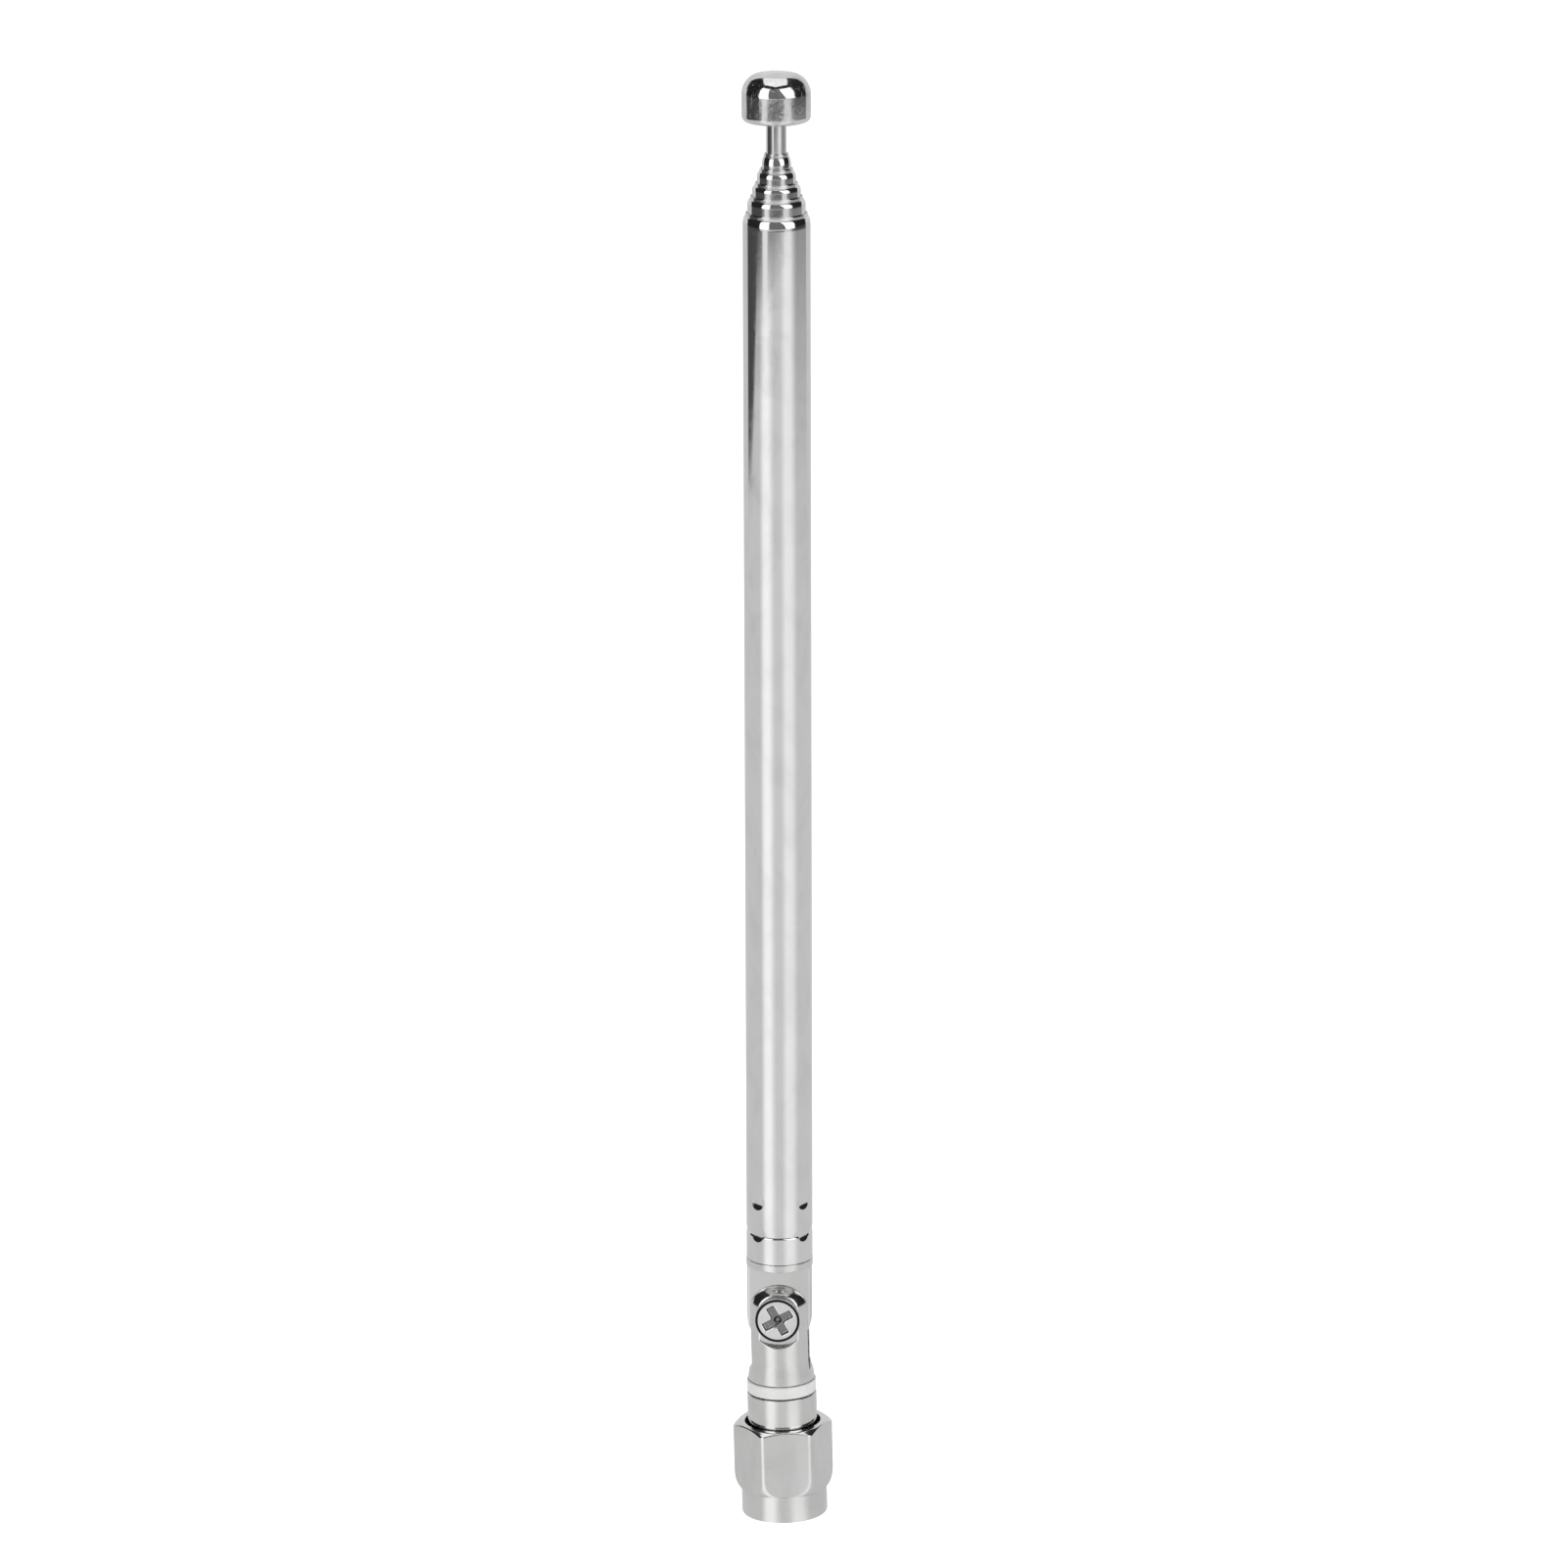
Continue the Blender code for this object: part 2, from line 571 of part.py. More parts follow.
def make_inner_section(index, elbow):
    """A sliding tube with two rolled beads at its foot, and the sleeve held between them."""
    name, diameter, wall_top, lip_top = SECTIONS[index]
    radius = 0.5 * diameter
    outside = bore_of(SECTIONS[index - 1][1])
    bead = outside - SLIDING_GAP
    inside = 0.5 * SECTIONS[index + 1][1] if index + 1 < len(SECTIONS) else ROD_RADIUS
    lower_bead = FOOT_HEIGHT + BEAD_HEIGHT
    upper_bead = lower_bead + SLEEVE_LENGTH + 2.0 * RUNNING_GAP
    outline = [
        (bead, FOOT_HEIGHT),
        (bead, lower_bead),
        (radius, lower_bead),
        (radius, upper_bead),
        (bead, upper_bead),
        (bead, upper_bead + BEAD_HEIGHT),
        (radius, upper_bead + BEAD_HEIGHT),
    ]
    outline += lip_outline(diameter, wall_top, lip_top, inside)
    outline.append((bore_of(diameter), FOOT_HEIGHT))
    piece(name, turned_mesh(outline), CHROME, parent=elbow)
    make_sleeve("section_%d_sleeve" % (index + 1), radius, outside, elbow)


def make_sleeve(name, inner, outer, elbow):
    """Split friction sleeve that grips the bore of the section outside it."""
    low = FOOT_HEIGHT + BEAD_HEIGHT + RUNNING_GAP
    outline = ring_outline(inner + RUNNING_GAP, outer - RUNNING_GAP, low, low + SLEEVE_LENGTH)
    piece(name, turned_mesh(outline, open_sides=SLEEVE_GAP), BRONZE, parent=elbow)


def make_tip(elbow):
    bush_top = FOOT_HEIGHT + 2.0 * BEAD_HEIGHT + SLEEVE_LENGTH + 2.0 * RUNNING_GAP
    rod = [
        (0.0, FOOT_HEIGHT),
        (ROD_TENON_RADIUS, FOOT_HEIGHT),
        (ROD_TENON_RADIUS, bush_top + RUNNING_GAP),
        (ROD_RADIUS, bush_top + RUNNING_GAP),
        (ROD_RADIUS, ROD_TOP),
        (0.0, ROD_TOP),
    ]
    piece("tip_rod", turned_mesh(rod), CHROME, parent=elbow)

    bore = bore_of(SECTIONS[-1][1])
    bead = bore - SLIDING_GAP
    tenon_hole = ROD_TENON_RADIUS + RUNNING_GAP
    bush = [
        (tenon_hole, FOOT_HEIGHT),
        (bead, FOOT_HEIGHT),
        (bead, FOOT_HEIGHT + BEAD_HEIGHT),
        (ROD_RADIUS, FOOT_HEIGHT + BEAD_HEIGHT),
        (ROD_RADIUS, bush_top - BEAD_HEIGHT),
        (bead, bush_top - BEAD_HEIGHT),
        (bead, bush_top),
        (tenon_hole, bush_top),
    ]
    piece("rod_bush", turned_mesh(bush), BRONZE, parent=elbow)
    make_sleeve("rod_sleeve", ROD_RADIUS, bore, elbow)

    hole = ROD_RADIUS + RUNNING_GAP
    knob = [(0.0, ROD_TOP + RUNNING_GAP), (hole, ROD_TOP + RUNNING_GAP), (hole, KNOB_BOTTOM)]
    knob += arc((KNOB_RADIUS - KNOB_EDGE, KNOB_BOTTOM + KNOB_EDGE), (KNOB_EDGE, KNOB_EDGE), -90.0, 0.0,
                EDGE_STEPS)
    flat = KNOB_RADIUS - KNOB_SHOULDER_WIDTH
    shoulder = KNOB_SHOULDER - KNOB_CROWN
    knob += arc((flat, KNOB_TOP - KNOB_SHOULDER), (KNOB_SHOULDER_WIDTH, shoulder), 0.0, 90.0,
                KNOB_SHOULDER_STEPS)
    knob.append((0.0, KNOB_TOP))
    piece("tip_knob", turned_mesh(knob), CHROME, parent=elbow)


def main():
    clear_scene()
    make_coupling_nut()
    make_connector_body()
    make_plug_inside()
    make_contact_spring()
    make_insulator_ring()
    swivel = empty("fork_swivel", (0.0, 0.0, 0.0))
    make_fork(swivel)
    make_screw(swivel)
    elbow = empty("elbow_pivot", (0.0, 0.0, PIVOT_HEIGHT), WHIP_LEAN)
    make_knuckle(elbow)
    make_outer_tube(elbow)
    for index in range(1, len(SECTIONS)):
        make_inner_section(index, elbow)
    make_tip(elbow)


main()
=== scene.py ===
"""Looks of the telescopic whip antenna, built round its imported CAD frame.

Outlines and fields are in millimetres. Turned pieces are outlines of (radius, height) spun
about their own axis; the fork, the knuckle, the nut, the screw and the washer are the zero
surfaces of fields that are negative inside the metal. The plug and the fork stand upright
on the row's Z axis. The whip's pieces are drawn with heights from the elbow pivot and are
placed by the WHIP matrix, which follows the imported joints.
"""
import json
import math

import bpy
import numpy as np
from mathutils import Matrix, Vector

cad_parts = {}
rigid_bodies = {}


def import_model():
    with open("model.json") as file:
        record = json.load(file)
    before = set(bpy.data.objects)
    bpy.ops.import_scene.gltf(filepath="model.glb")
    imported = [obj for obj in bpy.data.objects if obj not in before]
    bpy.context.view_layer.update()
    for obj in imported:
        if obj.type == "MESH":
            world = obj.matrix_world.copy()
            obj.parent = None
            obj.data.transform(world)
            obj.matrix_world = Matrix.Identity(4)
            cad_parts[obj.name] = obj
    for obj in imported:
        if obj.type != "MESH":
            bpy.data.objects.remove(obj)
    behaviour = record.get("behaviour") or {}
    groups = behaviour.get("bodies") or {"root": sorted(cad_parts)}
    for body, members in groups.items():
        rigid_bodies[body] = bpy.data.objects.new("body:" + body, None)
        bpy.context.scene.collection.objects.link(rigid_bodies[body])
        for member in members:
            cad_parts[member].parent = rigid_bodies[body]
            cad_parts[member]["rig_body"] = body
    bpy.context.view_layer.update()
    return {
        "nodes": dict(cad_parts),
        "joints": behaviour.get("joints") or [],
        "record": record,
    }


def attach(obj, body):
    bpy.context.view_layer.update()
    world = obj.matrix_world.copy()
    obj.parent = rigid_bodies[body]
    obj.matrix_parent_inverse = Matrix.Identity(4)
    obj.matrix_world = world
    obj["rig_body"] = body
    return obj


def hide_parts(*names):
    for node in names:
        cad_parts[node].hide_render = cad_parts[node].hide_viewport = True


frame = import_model()

MM = 0.001
SIDES = 128                        # of the turned pieces; the outer tube has twice as many
ARC_STEPS = 6                      # steps of a rounded edge
SHARP_ANGLE = math.radians(38.0)

NODES = frame["nodes"]
JOINTS = {joint["name"]: joint for joint in frame["joints"]}
PIVOT = Vector(JOINTS["elbow_pivot"]["pos_m"])
PIVOT_HEIGHT = PIVOT.z / MM
WHIP_AXIS = Vector(JOINTS["section_2_slide"]["axis"])
UPRIGHT = Matrix.Identity(4)
WHIP = Matrix.Translation(PIVOT) @ Matrix.Rotation(math.atan2(WHIP_AXIS.x, WHIP_AXIS.z), 4, "Y")
SCREW = Matrix.Translation(PIVOT) @ Matrix.Rotation(math.radians(90.0), 4, "X")   # +Z to its head


def node_points(node, placed):
    """Vertices of a CAD node as seen from a placement, in mm."""
    points = np.array([vertex.co for vertex in NODES[node].data.vertices])
    return (points - np.array(placed.translation)) @ np.array(placed.to_3x3()) / MM


def measure(node, placed=UPRIGHT):
    """Lowest and highest station and greatest radius of a CAD node about an axis, in mm."""
    points = node_points(node, placed)
    radii = np.hypot(points[:, 0], points[:, 1])
    return points[:, 2].min(), points[:, 2].max(), radii.max()


# ---------------------------------------------------------------- meshes

def make_mesh(name, points, faces, placed):
    mesh = bpy.data.meshes.new(name)
    mesh.from_pydata((np.asarray(points) * MM).tolist(), [], faces)
    mesh.shade_smooth()
    item = bpy.data.objects.new(name, mesh)
    item.matrix_world = placed
    bpy.context.scene.collection.objects.link(item)
    return item


def rounded(corners, closed=True):
    """Outline through corners (radius, height, edge), each corner rounded to its edge radius."""
    outline = []
    count = len(corners)
    for k, (radius, height, edge) in enumerate(corners):
        here = Vector((radius, height))
        if edge == 0.0 or (not closed and k in (0, count - 1)):
            outline.append(here)
            continue
        before = Vector(corners[k - 1][:2]) - here
        after = Vector(corners[(k + 1) % count][:2]) - here
        half = 0.5 * before.angle(after)
        reach = min(edge / math.tan(half), 0.45 * before.length, 0.45 * after.length)
        edge = reach * math.tan(half)
        before.normalize()
        after.normalize()
        middle = here + (before + after).normalized() * (edge / math.sin(half))
        start = here + before * reach - middle
        turn = start.angle_signed(here + after * reach - middle)
        outline.append(here + before * reach * 1.1)
        for step in range(ARC_STEPS + 1):
            angle = -turn * step / ARC_STEPS
            outline.append(middle + Matrix.Rotation(angle, 2) @ start)
        outline.append(here + after * reach * 1.1)
    return outline


def swept(center, radii, start, end, steps=8):
    """Sharp-cornered points of an elliptical arc, angles in degrees."""
    points = []
    for k in range(steps + 1):
        angle = math.radians(start + (end - start) * k / steps)
        points.append((center[0] + radii[0] * math.cos(angle),
                       center[1] + radii[1] * math.sin(angle), 0.0))
    return points


def refined(points, radius, low, high, step):
    """Outline with rows of points added on the wall of that radius, between two heights."""
    fine = []
    for first, second in zip(points, points[1:] + points[:1]):
        fine.append(first)
        if min(first[0], second[0]) > radius - 0.001 and first[1] < low and second[1] > high:
            count = round((high - low) / step)
            fine += [(radius, low + (high - low) * k / count) for k in range(count + 1)]
    return fine


def lathe(name, outline, placed=UPRIGHT, closed=True, refine=None, relief=None, sides=SIDES):
    """Spin an outline about Z.

    refine is (low, high, step) of added rows, where relief(angles, height) dents the wall.
    """
    points = [(p[0], p[1]) for p in outline]
    widest = max(radius for radius, height in points)
    if refine:
        points = refined(points, widest, *refine)
    area = sum(a[0] * b[1] - b[0] * a[1] for a, b in zip(points, points[1:] + points[:1]))
    if area < 0.0:
        points.reverse()
    angles = 2.0 * math.pi * np.arange(sides) / sides
    grid = []
    rings = []
    for radius, height in points:
        if radius == 0.0:
            rings.append([len(grid)] * sides)
            grid.append((0.0, 0.0, height))
            continue
        across = np.full(sides, radius)
        if relief and radius > widest - 0.001:
            across -= relief(angles, height)
        rings.append(list(range(len(grid), len(grid) + sides)))
        grid.extend(zip(across * np.cos(angles), across * np.sin(angles), [height] * sides))
    pairs = list(zip(rings, rings[1:]))
    if closed:
        pairs.append((rings[-1], rings[0]))
    faces = []
    for lower, upper in pairs:
        for k in range(sides):
            following = (k + 1) % sides
            around = (lower[k], lower[following], upper[following], upper[k])
            faces.append(list(dict.fromkeys(around)))
    item = make_mesh(name, grid, faces, placed)
    item.data.set_sharp_from_angle(angle=SHARP_ANGLE)
    return item


def slope(field, points, reach):
    """Values and gradients of a field at an array of points."""
    x, y, z = points.T
    across = [
        (field(x + reach, y, z) - field(x - reach, y, z)),
        (field(x, y + reach, z) - field(x, y - reach, z)),
        (field(x, y, z + reach) - field(x, y, z - reach)),
    ]
    return field(x, y, z), np.stack(across, axis=1) / (2.0 * reach)


def carve(name, field, low, high, step, placed=UPRIGHT):
    """Mesh the surface where a field is zero, with one vertex in each grid cell that it crosses."""
    counts = [int(math.ceil((b - a) / step)) + 1 for a, b in zip(low, high)]
    stations = [a + step * np.arange(n) for a, n in zip(low, counts)]
    inside = field(*np.meshgrid(*stations, indexing="ij")) < 0.0
    corners = np.zeros([n - 1 for n in counts], int)
    for i in (0, 1):
        for j in (0, 1):
            for k in (0, 1):
                corners += inside[i:counts[0] - 1 + i, j:counts[1] - 1 + j, k:counts[2] - 1 + k]
    cells = (corners > 0) & (corners < 8)
    number = (np.cumsum(cells) - 1).reshape(cells.shape)
    points = (np.argwhere(cells) + 0.5) * step + np.array(low)
    quads = []
    for axis in range(3):
        order = (axis, (axis + 1) % 3, (axis + 2) % 3)
        solid = inside.transpose(order)[:, 1:-1, 1:-1]
        cell = number.transpose(order)
        around = np.stack([cell[:, :-1, :-1], cell[:, 1:, :-1],
                           cell[:, 1:, 1:], cell[:, :-1, 1:]], axis=-1)
        leaving = solid[:-1] & ~solid[1:]
        entering = ~solid[:-1] & solid[1:]
        quads.append(around[leaving])
        quads.append(around[entering][:, ::-1])
    quads = np.concatenate(quads)

    ends = np.concatenate([quads, np.roll(quads, -1, axis=1)]).reshape(-1)
    others = np.concatenate([np.roll(quads, -1, axis=1), quads]).reshape(-1)
    shared = np.maximum(np.bincount(ends, minlength=len(points)), 1)
    for _ in range(4):
        average = [np.bincount(ends, weights=points[others, axis], minlength=len(points))
                   for axis in range(3)]
        points = 0.4 * points + 0.6 * np.stack(average, axis=1) / shared[:, None]
        for _ in range(3):
            value, gradient = slope(field, points, 0.02 * step)
            move = gradient * (value / np.maximum((gradient ** 2).sum(axis=1), 0.05))[:, None]
            length = np.linalg.norm(move, axis=1, keepdims=True)
            points = points - move * np.minimum(1.0, step / np.maximum(length, step * 0.001))
    item = make_mesh(name, points, quads.tolist(), placed)
    normals = slope(field, points, 0.1 * step)[1]
    normals /= np.maximum(np.linalg.norm(normals, axis=1, keepdims=True), 1e-9)
    item.data.normals_split_custom_set_from_vertices(normals.tolist())
    return item


def meet(a, b, edge):
    """Field of what is in both a and b, with their common edge rounded."""
    gap = np.maximum(edge - np.abs(a - b), 0.0)
    return np.maximum(a, b) + gap * gap / (4.0 * edge)


def join(a, b, edge):
    """Field of what is in either a or b, with a fillet between them."""
    return -meet(-a, -b, edge)


def cut(a, b, edge):
    """Field of a without b, with the rim of the cut rounded."""
    return meet(a, -b, edge)


def slab(station, low, high):
    return np.maximum(low - station, station - high)


# ---------------------------------------------------------------- materials

class Nodes:
    """Short ways to add and link shader nodes."""

    def __init__(self, tree):
        self.tree = tree

    def add(self, kind, **settings):
        node = self.tree.nodes.new(kind)
        for key, value in settings.items():
            setattr(node, key, value)
        return node

    def feed(self, node, **inputs):
        """Link or set a node's inputs by name, with _ for a space."""
        for key, value in inputs.items():
            socket = node.inputs[key.replace("_", " ")]
            if isinstance(value, bpy.types.NodeSocket):
                self.tree.links.new(value, socket)
            else:
                socket.default_value = value
        return node

    def math(self, operation, a, b=0.0):
        node = self.add("ShaderNodeMath", operation=operation)
        for socket, value in zip(node.inputs, (a, b)):
            if isinstance(value, bpy.types.NodeSocket):
                self.tree.links.new(value, socket)
            else:
                socket.default_value = value
        return node.outputs[0]

    def both(self, a, b):
        return self.math("MULTIPLY", a, b)

    def either(self, a, b):
        return self.math("MAXIMUM", a, b)

    def sum(self, a, b):
        return self.math("ADD", a, b)

    def less(self, a, b):
        return self.math("SUBTRACT", a, b)

    def length(self, x, y):
        """Length of the vector (x, y)."""
        return self.math("SQRT", self.sum(self.both(x, x), self.both(y, y)))

    def band(self, value, rise, fall):
        """1 between the two ramps rise and fall, each (low, high), and 0 outside them."""
        return self.both(self.ramp(value, *rise), self.ramp(value, *fall, 1.0, 0.0))

    def ramp(self, value, low, high, start=0.0, end=1.0):
        """Smooth change from start to end while value goes from low to high."""
        node = self.add("ShaderNodeMapRange", interpolation_type="SMOOTHSTEP")
        self.feed(node, Value=value, From_Min=low, From_Max=high, To_Min=start, To_Max=end)
        return node.outputs["Result"]

    def place(self, scale):
        """Object coordinates in millimetres, stretched by a scale for each axis."""
        coordinates = self.add("ShaderNodeTexCoord")
        mapping = self.add("ShaderNodeMapping")
        size = [factor / MM for factor in scale]
        self.feed(mapping, Vector=coordinates.outputs["Object"], Scale=size)
        return mapping.outputs["Vector"]

    def noise(self, scale, detail=3.0, roughness=0.55, warp=0.0):
        node = self.add("ShaderNodeTexNoise")
        self.feed(node, Vector=self.place(scale), Scale=1.0, Detail=detail, Roughness=roughness,
                  Distortion=warp)
        return node.outputs["Fac"]

    def blend(self, factor, first, second):
        """Mix of two colours, each three numbers or a socket."""
        node = self.add("ShaderNodeMix", data_type="RGBA")
        self.feed(node, Factor=factor)
        for socket, color in zip([s for s in node.inputs if s.type == "RGBA"], (first, second)):
            if isinstance(color, bpy.types.NodeSocket):
                self.tree.links.new(color, socket)
            else:
                socket.default_value = (*color, 1.0)
        return [s for s in node.outputs if s.type == "RGBA"][0]

    def bump(self, height, depth, normal=None):
        node = self.add("ShaderNodeBump")
        self.feed(node, Height=height, Distance=depth * MM, Strength=1.0)
        if normal:
            self.feed(node, Normal=normal)
        return node.outputs["Normal"]


def new_material(name):
    material = bpy.data.materials.new(name)
    material.use_nodes = True
    nodes = Nodes(material.node_tree)
    return material, nodes, material.node_tree.nodes["Principled BSDF"]


def metal(name, color, tarnish, roughness, grain, grain_depth, scratches, ripple):
    """Plated metal: grain along one axis, fine crossing scratches, haze and a faint unevenness.

    grain is the noise's scale for each axis, per millimetre; depths are in millimetres.
    """
    material, nodes, shader = new_material(name)
    smudge = nodes.noise((0.45, 0.45, 0.25), detail=4.0, warp=0.6)
    lines = nodes.noise(grain, detail=2.0)
    fine = nodes.noise((9.0, 9.0, 1.2), detail=2.0, warp=1.2)
    marks = nodes.ramp(fine, 0.66, 0.72)
    haze = nodes.ramp(smudge, 0.45, 0.72)
    rough = nodes.sum(nodes.ramp(haze, 0.0, 1.0, roughness, roughness * 1.9),
                      nodes.both(marks, scratches))
    rough = nodes.sum(rough, nodes.ramp(lines, 0.4, 0.75, 0.0, roughness * 0.5))
    normal = nodes.bump(lines, grain_depth)
    normal = nodes.bump(nodes.noise((0.7, 0.7, 0.35), detail=1.0), ripple, normal)
    normal = nodes.bump(marks, grain_depth * 1.5, normal)
    nodes.feed(shader, Base_Color=nodes.blend(nodes.ramp(smudge, 0.35, 0.75), color, tarnish),
               Metallic=1.0, Roughness=rough, Normal=normal)
    return material


def paint_shade(material, mask, color):
    """Paint shade into a metal's colour, darker where mask(nodes, radius, height) is 1, in the
    piece's own millimetres.
    """
    nodes = Nodes(material.node_tree)
    shader = material.node_tree.nodes["Principled BSDF"]
    coordinates = nodes.add("ShaderNodeTexCoord")
    split = nodes.feed(nodes.add("ShaderNodeSeparateXYZ"), Vector=coordinates.outputs["Object"])
    x, y, z = [nodes.both(output, 1.0 / MM) for output in split.outputs]
    unshaded_color = shader.inputs["Base Color"].links[0].from_socket
    nodes.feed(shader, Base_Color=nodes.blend(mask(nodes, nodes.length(x, y), z), unshaded_color, color))


def plastic(name, color, shade, roughness, grain, grain_depth):
    """Turned or moulded plastic: faint tool marks, mottling and a soft sheen."""
    material, nodes, shader = new_material(name)
    mottle = nodes.noise((0.8, 0.8, 0.8), detail=4.0)
    lines = nodes.noise(grain, detail=2.0)
    normal = nodes.bump(lines, grain_depth)
    nodes.feed(shader, Base_Color=nodes.blend(nodes.ramp(mottle, 0.4, 0.75), color, shade),
               Roughness=nodes.ramp(lines, 0.3, 0.7, roughness, roughness * 1.4), Normal=normal,
               Subsurface_Weight=0.08, Subsurface_Scale=0.3 * MM)
    return material


CHROME = metal("polished_chrome", (0.81, 0.81, 0.81), (0.75, 0.75, 0.75), 0.055,
               (2.0, 2.0, 14.0), 0.00012, 0.06, 0.0007)
KNOB_CHROME = metal("brushed_chrome", (0.80, 0.80, 0.80), (0.58, 0.58, 0.58), 0.075,
                    (3.0, 3.0, 2.6), 0.006, 0.14, 0.0022)
NICKEL = metal("bright_nickel", (0.76, 0.76, 0.755), (0.70, 0.70, 0.695), 0.10,
               (1.5, 1.5, 18.0), 0.0003, 0.12, 0.0012)
SCREW_STEEL = metal("plated_steel", (0.88, 0.88, 0.88), (0.76, 0.76, 0.76), 0.16,
                    (12.0, 12.0, 12.0), 0.0012, 0.12, 0.0015)
SPRING_STEEL = metal("spring_steel", (0.56, 0.56, 0.57), (0.42, 0.41, 0.41), 0.28,
                     (12.0, 12.0, 12.0), 0.0012, 0.15, 0.001)
BRONZE = metal("phosphor_bronze", (0.72, 0.47, 0.25), (0.50, 0.30, 0.16), 0.26,
               (8.0, 8.0, 2.0), 0.0010, 0.15, 0.001)
GOLD = metal("gold_flash", (0.95, 0.70, 0.30), (0.86, 0.58, 0.22), 0.16,
             (2.0, 2.0, 14.0), 0.0004, 0.08, 0.0006)
WHITE_PLASTIC = plastic("white_acetal", (0.84, 0.84, 0.83), (0.78, 0.78, 0.76), 0.40,
                        (1.5, 1.5, 22.0), 0.0012)
FLUOROPOLYMER = plastic("fluoropolymer", (0.90, 0.90, 0.88), (0.84, 0.84, 0.81), 0.34,
                        (9.0, 9.0, 9.0), 0.0010)
RUBBER = plastic("silicone_rubber", (0.60, 0.09, 0.05), (0.44, 0.06, 0.04), 0.55,
                 (14.0, 14.0, 14.0), 0.0015)


def stand_for(item, node, material):
    """Let a fine mesh take the place of a CAD node: its body and its finish."""
    item.data.materials.append(material)
    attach(item, NODES[node]["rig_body"])
    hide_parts(node)
    return item


# ---------------------------------------------------------------- whip

TUBE_WALL = 0.2
SLIDING_GAP = 0.04
FIT_GAP = 0.03
BEAD_HEIGHT = 0.5
BEAD_EDGE = 0.12
SLEEVE_ROOM = 5.46                 # between the two beads at a section's foot
LIP_WIDTH = 0.16
LIP_HEIGHT = 0.3
LIP_EDGE = 0.1
MOUTH_EDGE = 0.04
SECTIONS = ("outer_tube", "section_2_tube", "section_3_tube", "section_4_tube", "section_5_tube")
SHOULDERS = (0.95, 0.52, 0.42, 0.5, 1.0)   # height of each rolled shoulder
SWEEP_END = 84.0                   # degrees at which a swept shoulder meets the next corner
TUBE_END_EDGE = 0.012

CRIMP_RISE = 2.55                  # crimp groove above the outer tube's end
CRIMP_DEPTH = 0.09
CRIMP_ABOVE = 0.55                 # its long upper flank
CRIMP_BELOW = 0.16                 # its steep lower flank
DIMPLE_RISES = (2.76, 5.8)         # rows of punched dimples above the tube's end
DIMPLE_TURN = math.radians(51.7)
DIMPLE_RADIUS = 0.76
DIMPLE_DEPTH = 0.20
DIMPLE_FLATNESS = 2.2              # of its floor
CRIMPED_ROWS = (1.6, 6.8, 0.05)    # first, last and step of the fine rows above the tube's end


def wall_radius(node):
    """Radius of a section's wall, which the beads at its foot stand out from."""
    points = node_points(node, WHIP)
    upper = points[points[:, 2] > points[:, 2].mean()]
    return np.hypot(upper[:, 0], upper[:, 1]).max()


WALLS = [wall_radius(node) for node in SECTIONS]
ROD_RADIUS = wall_radius("tip_rod")


def lip_corners(index):
    """Shoulder, rolled lip and mouth of a section, from the top of its wall to its bore."""
    radius = WALLS[index]
    top = measure(SECTIONS[index], WHIP)[1]
    inside = WALLS[index + 1] if index + 1 < len(SECTIONS) else ROD_RADIUS
    hole = inside + SLIDING_GAP
    edge = hole + LIP_WIDTH
    wall_top = top - LIP_HEIGHT - SHOULDERS[index]
    corners = swept((edge, wall_top), (radius - edge, SHOULDERS[index]), 0.0, SWEEP_END)
    corners += [
        (edge, top - LIP_HEIGHT, 0.0),
        (edge, top, LIP_EDGE),
        (hole, top, MOUTH_EDGE),
        (hole, top - LIP_HEIGHT, 0.0),
        (radius - TUBE_WALL, wall_top, 0.0),
    ]
    return corners


def crimp(angles, height, tube_end):
    """Depth of the crimp groove and of the punched dimples that hold the tube on the knuckle."""
    above = height - (tube_end + CRIMP_RISE)
    flank = np.where(above > 0.0, above / CRIMP_ABOVE, above / CRIMP_BELOW)
    depth = CRIMP_DEPTH * np.clip(1.0 - np.abs(flank), 0.0, 1.0) ** 1.5
    turn = (angles - DIMPLE_TURN + math.radians(45.0)) % math.radians(90.0) - math.radians(45.0)
    across = WALLS[0] * turn
    for rise in DIMPLE_RISES:
        along = height - (tube_end + rise)
        reach = np.hypot(across, along) / DIMPLE_RADIUS
        depth = np.maximum(depth, DIMPLE_DEPTH * np.clip(1.0 - reach ** DIMPLE_FLATNESS, 0.0, 1.0))
    return depth


def make_outer_tube():
    end, top, radius = measure("outer_tube", WHIP)
    bore = radius - TUBE_WALL
    corners = [(bore, end, 0.0), (radius, end, TUBE_END_EDGE)] + lip_corners(0)
    first, last, step = CRIMPED_ROWS
    tube = lathe("outer_tube_skin", rounded(corners), WHIP, refine=(end + first, end + last, step),
                 relief=lambda angles, height: crimp(angles, height, end), sides=2 * SIDES)
    stand_for(tube, "outer_tube", CHROME)


def make_sliding_sections():
    for index in range(1, len(SECTIONS)):
        node = SECTIONS[index]
        foot, top, bead = measure(node, WHIP)
        radius = WALLS[index]
        upper = foot + BEAD_HEIGHT + SLEEVE_ROOM
        corners = [
            (radius - TUBE_WALL, foot, 0.0),
            (bead, foot, BEAD_EDGE),
            (bead, foot + BEAD_HEIGHT, BEAD_EDGE),
            (radius, foot + BEAD_HEIGHT, 0.0),
            (radius, upper, 0.0),
            (bead, upper, BEAD_EDGE),
            (bead, upper + BEAD_HEIGHT, BEAD_EDGE),
            (radius, upper + BEAD_HEIGHT, 0.0),
        ]
        corners += lip_corners(index)
        stand_for(lathe(node.replace("tube", "skin"), rounded(corners), WHIP), node, CHROME)


